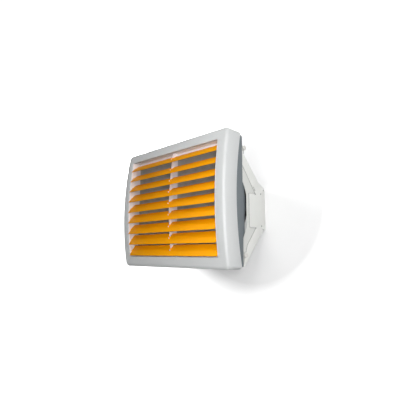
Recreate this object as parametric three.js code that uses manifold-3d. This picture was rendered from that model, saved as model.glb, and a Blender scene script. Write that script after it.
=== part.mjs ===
// Water fed fan heater on a two cheek mounting console.
// Millimetres, +Z up. The outlet faces -Y and the console's fixing flanges lie on the plane y = 0,
// with the origin midway between the two flanges, at the middle of their height.

import * as THREE from 'three';
import { mergeVertices } from 'three/addons/utils/BufferGeometryUtils.js';
import Module from 'manifold-3d';

const wasm = await Module();
wasm.setup();

// ---- driving dimensions -------------------------------------------------------------------

// Casing
const CASING_WIDTH = 620;
const CASING_HEIGHT = 530;
const CASING_CORNER = 18;
const SHELL_WALL = 3;
const FRONT_EDGE_ROUND = 12;
const FRONT_SHELL_DEPTH = 79;
const FRONT_BOW = 26;
const REAR_EDGE_BOW = 31;
const FRAME_SIDE_BORDER = 42;
const FRAME_TOP_BORDER = 44;
const OPENING_CORNER = 3;
const LIP_DEPTH = 5;
const LIP_WALL = 2.5;

// Rear shell and fan cowl
const REAR_SHELL_STEP = 8;
const TONGUE_LENGTH = 13;
const SHOULDER_START = 98;
const SHOULDER_LENGTH = 11;
const REAR_WAIST_INSET = 36;
const REAR_WAIST_DROP = 15;
const REAR_WAIST_CORNER = 40;
const BACK_FACE = 152;
const BACK_EDGE_ROUND = 9;
const COLLAR_MARGIN = 5;
const COLLAR_TAPER = 1;
const COLLAR_LENGTH = 57;
const THROAT_WALL = 6;
const THROAT_LENGTH = 33;

// Clearances
const TOUCH_GAP = 0.3;
const JOIN_BITE = 2;
const PIN_CLEARANCE = 0.3;
const BLADE_END_CLEARANCE = 0.8;
const TIP_CLEARANCE = 5;

// Outlet: rails, liners, rib and louvre blades
const RAIL_THICKNESS = 3;
const RAIL_FLANGE_WIDTH = 12;
const RAIL_FLANGE_THICKNESS = 2.5;
const LINER_THICKNESS = 2;
const LINER_FRONT = 9;
const LINER_LIP_STEP = 0.5;
const LINER_REAR_LIP = 7;
const LINER_SLOT_WIDTH = 3;
const LINER_SLOT_LENGTH = 10;
const LINER_SLOT_COUNT = 4;
const LINER_SLOT_END_MARGIN = 24;
const LINER_SLOT_INSET = 2;
const RIB_THICKNESS = 3;
const RIB_EAR_RADIUS = 4.3;
const BLADE_COUNT = 9;
const BLADE_END_MARGIN = 27.6;
const BLADE_OVERLAP = 6.4;
const BLADE_THICKNESS = 3;
const BLADE_EDGE = 1.6;
const BLADE_CAMBER = 1.5;
const BLADE_TILT = 48;
const BLADE_TILT_SPREAD = 8;
const BLADE_AXIS_DEPTH = 13.5;
const END_PIN_RADIUS = 2.5;
const RIB_PIN_RADIUS = 2;
const RIB_SLOT_CLEARANCE = 0.7;

// Coil
const COIL_FRONT = 35;
const COIL_DEPTH = 60;
const FIN_COUNT = 56;
const FIN_THICKNESS = 1.4;
const FIN_ROOT = 56;
const SIDE_PLATE = 2;
const SIDE_PLATE_FLANGE = 8;
const HEADER_RADIUS = 11;
const HEADER_LENGTH = 190;
const HEADER_SPACING = 20;
const STUB_RADIUS = 8;
const STUB_HEIGHT = 50;
const FEED_PITCH = 70;
const HEADER_WALL = 3;
const HEADER_BORE = 20;
const PLUG_SPIGOT = 12;
const STUB_END = 136;
const STUB_HOLE_CLEARANCE = 1;
const BEND_COUNT = 4;
const BEND_PITCH = 100;
const BEND_RADIUS = 15;
const BEND_TUBE = 4.5;
const PLUG_RADIUS = 9;
const PLUG_LENGTH = 8;

// Fan and motor
const FAN_BLADES = 5;
const FAN_FRONT = 160;
const HUB_LENGTH = 36;
const HUB_WALL = 4;
const FAN_BLADE_THICKNESS = 2.5;
const FAN_BLADE_PITCH = 24;
const FAN_ROOT_HALF_CHORD = 24;
const FAN_LEADING_BULGE = 62;
const FAN_TIP_LEAD = 30;
const FAN_TIP_TRAIL = 44;
const FAN_TIP_ROUND = 15;
const BELL_RADIUS = 50;
const BELL_WALL = 3;
const STATOR_AIR_GAP = 1;
const STATOR_FOOT = 22;
const SHAFT_RADIUS = 6;
const BEARING_RADIUS = 13;
const BEARING_WIDTH = 8;
const BEARING_INSET = 6;

// Guard
const GUARD_DISH = 18;
const GUARD_SLOPE = 8;
const GUARD_WIRE = 2.2;
const GUARD_RINGS = 4;
const GUARD_SPOKES = 6;
const GUARD_PLATE = 3;

// Terminal box
const BOX_WIDTH = 50;
const BOX_HEIGHT = 44;
const BOX_DEPTH = 28;
const BOX_CORNER_INSET = 46;
const COVER_THICKNESS = 3;
const GLAND_RADIUS = 8;
const GLAND_LENGTH = 16;

// Console
const WALL_DISTANCE = 285;
const BASE_TOP = 60;
const BASE_BOTTOM = -104;
const BASE_REACH = 131;
const BASE_STRIP = 115;
const ARM_END_RADIUS = 10;
const TAIL_LENGTH = 46;
const TAIL_WIDTH = 17;
const CREASE_TOP = 35;
const CREASE_BOTTOM = -101;
const CREASE_UPPER_REACH = 67;
const CREASE_LOWER_REACH = 68;
const SLIT_WIDTH = 3.5;
const UPPER_SLIT_LENGTH = 25;
const LOWER_SLIT_LENGTH = 39;
const CHEEK_HOLE_RADIUS = 3;
const CHEEK_HOLES = [[31, 42], [11, 60], [29, -93], [19, -107]];
const ELBOW_REACH = 115;
const ELBOW_RISE = -5;
const HEEL_REACH = 24;
const HEEL_DROP = 13;
const SHOULDER_REACH = 8;
const SHOULDER_RISE = 9;
const KNEE_REACH = 45;
const KNEE_RISE = 27;
const NECK_WIDTH = 15;
const NECK_DROP = 17;
const THROAT_CHAMFER = [[5, 7], [24, 47]];
const ARM_NECK_DROP = 108;
const STRIP_NECK_DROP = 55;
const STRIP_KNEE_RISE = 39;
const TAIL_CORNER = [6, 12];
const ARM_END_START = -30;
const CONSOLE_DROP = 22;
const CHEEK_GAP = 3;
const CHEEK_SHEET = 2;
const CHEEK_STEP = 2;
const FLANGE_WIDTH = 43;
const FLANGE_SHEET = 3;
const KNOB_DEPTH = 126;
const KNOB_FROM_EDGE = 38;
const KNOB_RADIUS = 10;
const KNOB_LENGTH = 14;
const KNOB_CROWN = 3;
const KNOB_FLUTES = 8;
const KNOB_FLUTE_DEPTH = 0.8;
const STUD_RADIUS = 3;
const BUSH_RADIUS = 8;
const BUSH_FLANGE = 3;
const BUSH_DEPTH = 10;
const WALL_SCREW_RADIUS = 4;
const WALL_SCREW_HEAD = 7;
const WALL_SCREW_HEAD_HEIGHT = 5;
const WALL_SCREW_INSET = 28;
const SHELL_SCREW_FROM_SIDE = 95;
const SHELL_SCREW_RADIUS = 2;
const SHELL_SCREW_HEAD = 4.5;
const SHELL_SCREW_HEAD_HEIGHT = 1.6;

// Shared places that follow from the sizes above
const halfWidth = CASING_WIDTH / 2;
const halfHeight = CASING_HEIGHT / 2;
const openingHalfWidth = halfWidth - FRAME_SIDE_BORDER;
const openingHalfHeight = halfHeight - FRAME_TOP_BORDER;
const collarEnd = BACK_FACE + COLLAR_LENGTH;
const waistHalfWidth = halfWidth - REAR_WAIST_INSET;
const waistHalfHeight = halfHeight - REAR_WAIST_DROP;
const collarRadius = Math.min(waistHalfWidth, waistHalfHeight) - BACK_EDGE_ROUND - COLLAR_MARGIN;
const throatRadius = collarRadius - THROAT_WALL;
const railOuter = openingHalfWidth - TOUCH_GAP;
const railInner = railOuter - RAIL_THICKNESS;
const bladeHalfLength = railInner - BLADE_END_CLEARANCE;
const bladePitch = 2 * (openingHalfHeight - BLADE_END_MARGIN) / (BLADE_COUNT - 1);
const bladeChord = bladePitch + BLADE_OVERLAP;
const linerInner = openingHalfHeight + LINER_LIP_STEP;
const coilHalfWidth = railInner - SIDE_PLATE;
const coilHalfHeight = linerInner + LINER_THICKNESS;
const cheekInner = waistHalfWidth + CHEEK_GAP;
const cheekOuter = cheekInner + CHEEK_SHEET + CHEEK_STEP;
const knobHeight = waistHalfHeight - KNOB_FROM_EDGE;
const screwX = halfWidth - SHELL_SCREW_FROM_SIDE;
const boxMiddleX = -(waistHalfWidth - BOX_CORNER_INSET);
const boxMiddleZ = waistHalfHeight - BOX_CORNER_INSET;
const headerX = (railOuter + halfWidth - SHELL_WALL) / 2;

// ---- colours and surfaces -----------------------------------------------------------------

function paint(color, roughness, metalness = 0) {
  return new THREE.MeshStandardMaterial({ color, roughness, metalness });
}

const lightGreyPlastic = paint('#d0d2d1', 0.5);
const blueGreyPlastic = paint('#767f84', 0.55);
const orangePlastic = paint('#eb9b04', 0.4);
const whiteSteel = paint('#e1e2dd', 0.45);
const aluminiumFins = paint('#7a7c79', 0.45, 0.7);
const zincSteel = paint('#b9bcbd', 0.4, 0.8);
const copper = paint('#b7724a', 0.35, 0.9);
const brass = paint('#b59a4c', 0.35, 0.9);
const blackPaint = paint('#1d1e20', 0.5);
const blackPlastic = paint('#26282a', 0.6);

const heater = new THREE.Group();
const unit = new THREE.Group();
unit.position.set(0, -WALL_DISTANCE, CONSOLE_DROP);
heater.add(unit);

function addPiece(name, geometry, material) {
  const mesh = new THREE.Mesh(geometry, material);
  mesh.name = name;
  unit.add(mesh);
  return mesh;
}

// ---- shape helpers ------------------------------------------------------------------------

// A closed geometry as a solid that can be joined and cut.
function toSolid(geometry) {
  const bare = new THREE.BufferGeometry();
  bare.setAttribute('position', geometry.getAttribute('position'));
  if (geometry.index) bare.setIndex(geometry.index);
  const merged = mergeVertices(bare, 1e-4);
  return new wasm.Manifold(new wasm.Mesh({
    numProp: 3,
    vertProperties: new Float32Array(merged.getAttribute('position').array),
    triVerts: new Uint32Array(merged.index.array),
  }));
}

function toGeometry(solid) {
  const mesh = solid.getMesh();
  const geometry = new THREE.BufferGeometry();
  geometry.setAttribute('position', new THREE.BufferAttribute(new Float32Array(mesh.vertProperties), 3));
  geometry.setIndex(new THREE.BufferAttribute(new Uint32Array(mesh.triVerts), 1));
  geometry.computeVertexNormals();
  return geometry;
}

const join = (...geometries) => toGeometry(geometries.map(toSolid).reduce((all, next) => all.add(next)));
const cut = (geometry, ...tools) =>
  toGeometry(tools.map(toSolid).reduce((all, tool) => all.subtract(tool), toSolid(geometry)));

// Two limits in rising order.
const upward = (a, b) => [Math.min(a, b), Math.max(a, b)];

// A block between two limits on each axis.
function block([x0, x1], [y0, y1], [z0, z1]) {
  const geometry = new THREE.BoxGeometry(x1 - x0, y1 - y0, z1 - z0);
  return geometry.translate((x0 + x1) / 2, (y0 + y1) / 2, (z0 + z1) / 2);
}

// Round bars along each axis, from one end to the other.
function barX(radius, [from, to], y, z, sides = 16) {
  const geometry = new THREE.CylinderGeometry(radius, radius, to - from, sides);
  return geometry.rotateZ(Math.PI / 2).translate((from + to) / 2, y, z);
}

function barY(radius, x, [from, to], z, sides = 16) {
  return new THREE.CylinderGeometry(radius, radius, to - from, sides).translate(x, (from + to) / 2, z);
}

function barZ(radius, x, y, [from, to], sides = 16) {
  const geometry = new THREE.CylinderGeometry(radius, radius, to - from, sides);
  return geometry.rotateX(Math.PI / 2).translate(x, y, (from + to) / 2);
}

// A flat outline given as [y, z] points, thickened from x0 to x1.
function plateAcrossX(points, [x0, x1]) {
  const shape = new THREE.Shape(points.map(([y, z]) => new THREE.Vector2(y, z)));
  const geometry = new THREE.ExtrudeGeometry(shape, { depth: x1 - x0, bevelEnabled: false });
  const axes = new THREE.Matrix4().makeBasis(
    new THREE.Vector3(0, 1, 0), new THREE.Vector3(0, 0, 1), new THREE.Vector3(1, 0, 0));
  return geometry.applyMatrix4(axes).translate(x0, 0, 0);
}

// A lathe profile of [radius, y] points, turned round the Y axis.
function turnedY(profile, sides = 32) {
  return new THREE.LatheGeometry(profile.map(([r, y]) => new THREE.Vector2(r, y)), sides);
}

// Mirror to the other side of X = 0, with the faces kept pointing out.
function mirrored(geometry) {
  const copy = geometry.clone().scale(-1, 1, 1);
  if (!copy.index) copy.setIndex([...Array(copy.getAttribute('position').count).keys()]);
  const index = copy.index.array;
  for (let i = 0; i < index.length; i += 3) {
    const first = index[i];
    index[i] = index[i + 1];
    index[i + 1] = first;
  }
  return copy;
}

// How far the bowed front stands before its top and bottom edges at a height.
const bowShare = (z) => 1 - (z / halfHeight) ** 2;
const frontFace = (z) => -FRONT_BOW * bowShare(z);
const bladeAxis = (z) => frontFace(z) + BLADE_AXIS_DEPTH;

// Heights spread evenly over the opening, for curved edges.
function heights(limit, steps) {
  return Array.from({ length: steps + 1 }, (_, i) => limit * (2 * i / steps - 1));
}

// One ring of points: a rounded rectangle, or a circle where the corner is as large as the ring.
const SIDE_STEPS = 5;
const CORNER_STEPS = 4;
const TOP_STEPS = 2;

function quarterRing({ width, height, corner }) {
  const steps = SIDE_STEPS + CORNER_STEPS + TOP_STEPS;
  if (corner >= Math.min(width, height)) {
    return Array.from({ length: steps }, (_, i) => {
      const angle = (i / steps) * Math.PI / 2;
      return [width * Math.cos(angle), height * Math.sin(angle)];
    });
  }
  const points = [];
  for (let i = 0; i < SIDE_STEPS; i++) points.push([width, (height - corner) * i / SIDE_STEPS]);
  for (let i = 0; i < CORNER_STEPS; i++) {
    const angle = (i / CORNER_STEPS) * Math.PI / 2;
    points.push([width - corner + corner * Math.cos(angle), height - corner + corner * Math.sin(angle)]);
  }
  for (let i = 0; i < TOP_STEPS; i++) points.push([(width - corner) * (1 - i / TOP_STEPS), height]);
  return points;
}

function fullRing(ring) {
  const quarter = quarterRing(ring);
  const backwards = quarter.slice(1).reverse();
  const second = [[0, ring.height], ...backwards.map(([x, z]) => [-x, z])];
  const third = quarter.map(([x, z]) => [-x, -z]);
  const fourth = [[0, -ring.height], ...backwards.map(([x, z]) => [x, -z])];
  return [...quarter, ...second, ...third, ...fourth];
}

// A shell skinned through rings that close on themselves. Each ring lies at a depth and
// follows the bow by its own amount.
function ringShell(rings) {
  const positions = [];
  for (const ring of rings) {
    for (const [x, z] of fullRing(ring)) {
      positions.push(x, ring.depth - (ring.bow ?? 0) * bowShare(z), z);
    }
  }
  const count = fullRing(rings[0]).length;
  const index = [];
  for (let r = 0; r < rings.length; r++) {
    const next = (r + 1) % rings.length;
    for (let i = 0; i < count; i++) {
      const j = (i + 1) % count;
      const [a, b, c, d] = [r * count + i, r * count + j, next * count + j, next * count + i];
      index.push(a, c, b, a, d, c);
    }
  }
  const geometry = new THREE.BufferGeometry();
  geometry.setAttribute('position', new THREE.Float32BufferAttribute(positions, 3));
  geometry.setIndex(index);
  geometry.computeVertexNormals();
  return geometry;
}

// ---- casing -------------------------------------------------------------------------------

// The outline of the casing drawn in by an inset on every side.
function casingRing(inset, depth, bow, topInset = inset) {
  const corner = Math.max(CASING_CORNER - inset, OPENING_CORNER);
  return { width: halfWidth - inset, height: halfHeight - topInset, corner, depth, bow };
}

const bowAt = (depth) => FRONT_BOW + (REAR_EDGE_BOW - FRONT_BOW) * depth / FRONT_SHELL_DEPTH;

// Rings of the rounded front edge, outside or one wall thickness inside.
function frontEdgeRings(wall) {
  const steps = 4;
  const radius = FRONT_EDGE_ROUND - wall;
  return Array.from({ length: steps + 1 }, (_, i) => {
    const angle = (i / steps) * Math.PI / 2;
    const inset = FRONT_EDGE_ROUND - radius * Math.sin(angle);
    const depth = FRONT_EDGE_ROUND - radius * Math.cos(angle);
    return casingRing(inset, depth, bowAt(depth));
  });
}

const screwPlaces = [[-screwX, 1], [screwX, 1], [-screwX, -1], [screwX, -1]];
const screwDepth = FRONT_SHELL_DEPTH - TONGUE_LENGTH / 2;
const screwHeadSeat = halfHeight - SHELL_SCREW_HEAD_HEIGHT - TOUCH_GAP;

function frontShell() {
  const lipTop = (inset) => inset + FRAME_TOP_BORDER - FRAME_SIDE_BORDER;
  const lipInset = FRAME_SIDE_BORDER - LIP_WALL;
  const shell = ringShell([
    casingRing(FRAME_SIDE_BORDER, LIP_DEPTH, FRONT_BOW, FRAME_TOP_BORDER),
    casingRing(FRAME_SIDE_BORDER, 0, FRONT_BOW, FRAME_TOP_BORDER),
    ...frontEdgeRings(0),
    casingRing(0, FRONT_SHELL_DEPTH, REAR_EDGE_BOW),
    casingRing(SHELL_WALL, FRONT_SHELL_DEPTH, REAR_EDGE_BOW),
    ...frontEdgeRings(SHELL_WALL).reverse(),
    casingRing(lipInset, SHELL_WALL, FRONT_BOW, lipTop(lipInset)),
    casingRing(lipInset, LIP_DEPTH, FRONT_BOW, lipTop(lipInset)),
  ]);
  const holes = screwPlaces.flatMap(([x, side]) => {
    const seat = side * screwHeadSeat;
    const inside = side * (halfHeight - 2 * SHELL_WALL);
    const outside = side * (halfHeight + SHELL_WALL);
    return [
      barZ(SHELL_SCREW_RADIUS + PIN_CLEARANCE, x, screwDepth, upward(inside, outside)),
      barZ(SHELL_SCREW_HEAD + PIN_CLEARANCE, x, screwDepth, upward(seat, outside)),
    ];
  });
  return cut(shell, ...holes);
}

const knobPlaces = [[1, 1], [1, -1], [-1, 1], [-1, -1]];
const tongueInset = SHELL_WALL + TOUCH_GAP;
const tongueStart = FRONT_SHELL_DEPTH - TONGUE_LENGTH;

function rearShell() {
  const step = FRONT_SHELL_DEPTH - TOUCH_GAP;
  const waistDepth = SHOULDER_START + SHOULDER_LENGTH;
  const waist = (inset, depth) => ({
    width: waistHalfWidth - inset,
    height: waistHalfHeight - inset,
    corner: REAR_WAIST_CORNER - inset,
    depth,
  });
  const round = (radius, depth) => ({ width: radius, height: radius, corner: radius, depth });
  const shell = ringShell([
    casingRing(tongueInset, tongueStart, REAR_EDGE_BOW),
    casingRing(tongueInset, step, REAR_EDGE_BOW),
    casingRing(REAR_SHELL_STEP, step, REAR_EDGE_BOW),
    casingRing(REAR_SHELL_STEP, SHOULDER_START, 0),
    waist(0, waistDepth),
    waist(0, BACK_FACE - BACK_EDGE_ROUND),
    waist(BACK_EDGE_ROUND / 3, BACK_FACE - BACK_EDGE_ROUND / 3),
    waist(BACK_EDGE_ROUND, BACK_FACE),
    round(collarRadius, BACK_FACE),
    round(collarRadius - COLLAR_TAPER, collarEnd),
    round(collarRadius - COLLAR_TAPER - SHELL_WALL, collarEnd),
    round(throatRadius, FAN_FRONT + HUB_LENGTH),
    round(throatRadius, FAN_FRONT + HUB_LENGTH - THROAT_LENGTH),
    round(collarRadius - SHELL_WALL, BACK_FACE - SHELL_WALL),
    waist(BACK_EDGE_ROUND + SHELL_WALL, BACK_FACE - SHELL_WALL),
    waist(SHELL_WALL, BACK_FACE - BACK_EDGE_ROUND - SHELL_WALL),
    waist(SHELL_WALL, waistDepth - SHELL_WALL),
    casingRing(REAR_SHELL_STEP + SHELL_WALL, SHOULDER_START - SHELL_WALL, 0),
    casingRing(REAR_SHELL_STEP + SHELL_WALL, step, REAR_EDGE_BOW),
    casingRing(REAR_SHELL_STEP + SHELL_WALL, step - SHELL_WALL, REAR_EDGE_BOW),
    casingRing(tongueInset + SHELL_WALL, step - SHELL_WALL, REAR_EDGE_BOW),
    casingRing(tongueInset + SHELL_WALL, tongueStart, REAR_EDGE_BOW),
  ]);
  const screwHoles = screwPlaces.map(([x, side]) => barZ(
    SHELL_SCREW_RADIUS + PIN_CLEARANCE, x, screwDepth,
    upward(side * (halfHeight - 4 * SHELL_WALL), side * halfHeight)));
  const bushHoles = knobPlaces.map(([side, end]) => barX(
    BUSH_RADIUS + PIN_CLEARANCE,
    upward(side * (waistHalfWidth - 2 * SHELL_WALL), side * cheekInner),
    KNOB_DEPTH, end * knobHeight));
  const stubHoles = [-STUB_HEIGHT, STUB_HEIGHT].map((z) => barY(
    STUB_RADIUS + STUB_HOLE_CLEARANCE, -headerX, [SHOULDER_START - SHELL_WALL, BACK_FACE], z));
  return cut(shell, ...screwHoles, ...bushHoles, ...stubHoles);
}

function shellScrew([x, side]) {
  const head = upward(side * (screwHeadSeat + TOUCH_GAP), side * halfHeight);
  const shank = upward(side * (halfHeight - 3 * SHELL_WALL), side * (screwHeadSeat + 2 * TOUCH_GAP));
  return join(
    barZ(SHELL_SCREW_HEAD, x, screwDepth, head),
    barZ(SHELL_SCREW_RADIUS, x, screwDepth, shank));
}

addPiece('front_shell', frontShell(), lightGreyPlastic);
addPiece('rear_shell', rearShell(), blueGreyPlastic);
screwPlaces.forEach((place, i) => addPiece(`shell_screw_${i + 1}`, shellScrew(place), zincSteel));

// ---- outlet: rails, liners, rib and blades -------------------------------------------------

const bladeHeights = Array.from({ length: BLADE_COUNT }, (_, i) => bladePitch * ((BLADE_COUNT - 1) / 2 - i));
const outletRear = COIL_FRONT - TOUCH_GAP;
const outletTop = linerInner - TOUCH_GAP;
const railTop = openingHalfHeight - OPENING_CORNER;
const EDGE_STEPS = 12;

function rail() {
  const frontEdge = heights(railTop, EDGE_STEPS).map((z) => [frontFace(z) + 1, z]);
  const plate = plateAcrossX(
    [...frontEdge, [outletRear, railTop], [outletRear, -railTop]], [railInner, railOuter]);
  const flangeFront = (z) => frontFace(z) + LIP_DEPTH + TOUCH_GAP;
  const flangeHeights = heights(railTop, EDGE_STEPS);
  const flange = plateAcrossX(
    [
      ...flangeHeights.map((z) => [flangeFront(z), z]),
      ...[...flangeHeights].reverse().map((z) => [flangeFront(z) + RAIL_FLANGE_THICKNESS, z]),
    ],
    [railInner + RAIL_THICKNESS / 2, railOuter + RAIL_FLANGE_WIDTH]);
  const holes = bladeHeights.map((z) => barX(
    END_PIN_RADIUS + PIN_CLEARANCE, [railInner - 1, railOuter + RAIL_THICKNESS], bladeAxis(z), z, 8));
  return cut(join(plate, flange), ...holes);
}

// A strip behind the lip, with a web that stands up to the shell's wall and down past the strip.
function liner(side) {
  const web = halfHeight - SHELL_WALL - TOUCH_GAP;
  const strip = block([-bladeHalfLength, bladeHalfLength], [LINER_FRONT, outletRear],
    [linerInner, linerInner + LINER_THICKNESS]);
  const wall = block([-bladeHalfLength, bladeHalfLength], [outletRear - LINER_THICKNESS, outletRear],
    [linerInner - LINER_REAR_LIP, web]);
  const slots = heights(bladeHalfLength - LINER_SLOT_END_MARGIN, LINER_SLOT_COUNT - 1).map((x) => block(
    [x - LINER_SLOT_WIDTH / 2, x + LINER_SLOT_WIDTH / 2],
    [LINER_FRONT + LINER_SLOT_INSET, LINER_FRONT + LINER_SLOT_INSET + LINER_SLOT_LENGTH],
    [linerInner - 1, linerInner + LINER_THICKNESS + 1]));
  const upper = cut(join(strip, wall), ...slots);
  return side > 0 ? upper : upper.rotateY(Math.PI);
}

function centreRib() {
  const frontGap = RIB_PIN_RADIUS + PIN_CLEARANCE;
  const frontEdge = heights(outletTop, EDGE_STEPS).map((z) => [bladeAxis(z) + frontGap, z]);
  const lipFront = outletRear - LINER_THICKNESS - TOUCH_GAP;
  const lipEdge = linerInner - LINER_REAR_LIP - TOUCH_GAP;
  const plate = plateAcrossX(
    [
      ...frontEdge, [lipFront, outletTop], [lipFront, lipEdge], [outletRear, lipEdge],
      [outletRear, -lipEdge], [lipFront, -lipEdge], [lipFront, -outletTop],
    ],
    [-RIB_THICKNESS / 2, RIB_THICKNESS / 2]);
  const ears = bladeHeights.map((z) => barX(
    RIB_EAR_RADIUS, [-RIB_THICKNESS / 2, RIB_THICKNESS / 2], bladeAxis(z), z, 10));
  const bores = bladeHeights.map((z) => barX(
    RIB_PIN_RADIUS + PIN_CLEARANCE, [-RIB_THICKNESS, RIB_THICKNESS], bladeAxis(z), z, 8));
  return cut(join(plate, ...ears), ...bores);
}

// A cambered blade about its own pin line, lying level with its rear edge towards +Y.
function blade() {
  const half = bladeChord / 2;
  const steps = 4;
  const places = Array.from({ length: steps + 1 }, (_, i) => half * (2 * i / steps - 1));
  const camber = (s) => BLADE_CAMBER * (s / half) ** 2;
  const thick = (s) => BLADE_THICKNESS - (BLADE_THICKNESS - BLADE_EDGE) * (s / half) ** 2;
  const outline = [
    ...places.map((s) => [s, -camber(s) - thick(s) / 2]),
    ...[...places].reverse().map((s) => [s, -camber(s) + thick(s) / 2]),
  ];
  const body = plateAcrossX(outline, [-bladeHalfLength, bladeHalfLength]);
  const slotHalf = RIB_THICKNESS / 2 + RIB_SLOT_CLEARANCE;
  const slot = block([-slotHalf, slotHalf], [-RIB_EAR_RADIUS - RIB_SLOT_CLEARANCE, half + 1],
    [-bladeChord / 4, bladeChord / 4]);
  const pinReach = railOuter - TOUCH_GAP;
  return join(
    cut(body, slot),
    barX(RIB_PIN_RADIUS, [-slotHalf - JOIN_BITE, slotHalf + JOIN_BITE], 0, 0, 8),
    barX(END_PIN_RADIUS, [-pinReach, -bladeHalfLength + JOIN_BITE], 0, 0, 8),
    barX(END_PIN_RADIUS, [bladeHalfLength - JOIN_BITE, pinReach], 0, 0, 8));
}

addPiece('louvre_rail_right', rail(), lightGreyPlastic);
addPiece('louvre_rail_left', mirrored(rail()), lightGreyPlastic);
addPiece('outlet_liner_top', liner(1), lightGreyPlastic);
addPiece('outlet_liner_bottom', liner(-1), lightGreyPlastic);
addPiece('centre_rib', centreRib(), lightGreyPlastic);
bladeHeights.forEach((z, i) => {
  const mesh = addPiece(`louvre_blade_${i + 1}`, blade(), orangePlastic);
  mesh.position.set(0, bladeAxis(z), z);
  const tilt = BLADE_TILT - BLADE_TILT_SPREAD * z / bladeHeights[0];
  mesh.rotation.x = THREE.MathUtils.degToRad(tilt);
});

// ---- coil ---------------------------------------------------------------------------------

const coilRear = COIL_FRONT + COIL_DEPTH;

// One block of fins standing side by side on the tubes that run through them.
function finBlock() {
  const reach = coilHalfWidth - TOUCH_GAP;
  const pitch = (2 * reach - FIN_THICKNESS) / (FIN_COUNT - 1);
  const root = COIL_FRONT + FIN_ROOT;
  const shape = new THREE.Shape();
  shape.moveTo(-reach, coilRear);
  for (let i = 0; i < FIN_COUNT; i++) {
    const left = -reach + i * pitch;
    if (i > 0) shape.lineTo(left, root);
    shape.lineTo(left, COIL_FRONT);
    shape.lineTo(left + FIN_THICKNESS, COIL_FRONT);
    if (i < FIN_COUNT - 1) shape.lineTo(left + FIN_THICKNESS, root);
  }
  shape.lineTo(reach, coilRear);
  const height = 2 * (coilHalfHeight - SIDE_PLATE);
  const geometry = new THREE.ExtrudeGeometry(shape, { depth: height, bevelEnabled: false });
  return geometry.translate(0, 0, -height / 2);
}

// A folded end plate with flanges turned out at the front and rear.
function coilSidePlate() {
  const outer = coilHalfWidth + SIDE_PLATE;
  const limits = [-coilHalfHeight, coilHalfHeight];
  return join(
    block([coilHalfWidth, outer], [COIL_FRONT, coilRear], limits),
    block([coilHalfWidth, outer + SIDE_PLATE_FLANGE], [COIL_FRONT, COIL_FRONT + SIDE_PLATE], limits),
    block([coilHalfWidth, outer + SIDE_PLATE_FLANGE], [coilRear - SIDE_PLATE, coilRear], limits));
}

const headerMiddle = COIL_FRONT + COIL_DEPTH / 2;

// A header pipe above (end 1) or below (end -1) mid height, with short feeds into the coil and
// a stub that leaves through the rear shell.
function header(end) {
  const inner = end * HEADER_SPACING / 2;
  const outer = inner + end * HEADER_LENGTH;
  const feedEnd = -coilHalfWidth - SIDE_PLATE - TOUCH_GAP;
  const feeds = [1, 2].map((n) => barX(
    BEND_TUBE, [-headerX, feedEnd], headerMiddle, inner + end * n * FEED_PITCH, 10));
  const pipe = barZ(HEADER_RADIUS, -headerX, headerMiddle, upward(inner, outer));
  const bore = barZ(
    HEADER_RADIUS - HEADER_WALL, -headerX, headerMiddle, upward(outer + end, outer - end * HEADER_BORE));
  const stub = barY(STUB_RADIUS, -headerX, [headerMiddle, STUB_END], end * STUB_HEIGHT);
  const stubBore = barY(
    STUB_RADIUS - HEADER_WALL, -headerX, [headerMiddle + HEADER_RADIUS, STUB_END + 1], end * STUB_HEIGHT);
  return cut(join(pipe, stub, ...feeds), bore, stubBore);
}

function headerPlug(end) {
  const mouth = end * (HEADER_SPACING / 2 + HEADER_LENGTH);
  const spigot = HEADER_RADIUS - HEADER_WALL - PIN_CLEARANCE;
  return join(
    barZ(PLUG_RADIUS, -headerX, headerMiddle, upward(mouth + end * TOUCH_GAP, mouth + end * PLUG_LENGTH), 6),
    barZ(spigot, -headerX, headerMiddle, upward(mouth - end * PLUG_SPIGOT, mouth + end * JOIN_BITE)));
}

const BEND_SIDES = 8;
const BEND_STEPS = 10;

// A hairpin bend of tube on the outer side of the right end plate.
function returnBend(z) {
  const start = coilHalfWidth + SIDE_PLATE + TOUCH_GAP;
  const leg = 6;
  const path = new THREE.CurvePath();
  const at = (x, dz) => new THREE.Vector3(x, headerMiddle, z + dz);
  path.add(new THREE.LineCurve3(at(start, -BEND_RADIUS), at(start + leg, -BEND_RADIUS)));
  const handle = BEND_RADIUS * 4 / 3;
  path.add(new THREE.CubicBezierCurve3(at(start + leg, -BEND_RADIUS), at(start + leg + handle, -BEND_RADIUS),
    at(start + leg + handle, BEND_RADIUS), at(start + leg, BEND_RADIUS)));
  path.add(new THREE.LineCurve3(at(start + leg, BEND_RADIUS), at(start, BEND_RADIUS)));
  const section = new THREE.Shape(Array.from({ length: BEND_SIDES }, (_, i) => {
    const angle = (i / BEND_SIDES) * 2 * Math.PI;
    return new THREE.Vector2(BEND_TUBE * Math.cos(angle), BEND_TUBE * Math.sin(angle));
  }));
  return new THREE.ExtrudeGeometry(section, { steps: BEND_STEPS, extrudePath: path, bevelEnabled: false });
}

addPiece('coil_fins', finBlock(), aluminiumFins);
addPiece('coil_side_plate_right', coilSidePlate(), zincSteel);
addPiece('coil_side_plate_left', mirrored(coilSidePlate()), zincSteel);
addPiece('supply_header', header(-1), copper);
addPiece('return_header', header(1), copper);
addPiece('drain_plug', headerPlug(-1), brass);
addPiece('vent_plug', headerPlug(1), brass);
heights(BEND_PITCH * (BEND_COUNT - 1) / 2, BEND_COUNT - 1).forEach((z, i) =>
  addPiece(`return_bend_${i + 1}`, returnBend(z), copper));

// ---- fan and motor ------------------------------------------------------------------------

const bellBack = FAN_FRONT + HUB_LENGTH;
const guardRimY = collarEnd + TOUCH_GAP + GUARD_WIRE;
const guardPlane = guardRimY + GUARD_DISH;
const statorEnd = guardPlane - GUARD_PLATE / 2 - TOUCH_GAP;
const shaftStart = FAN_FRONT + BELL_WALL + TOUCH_GAP;

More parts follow.
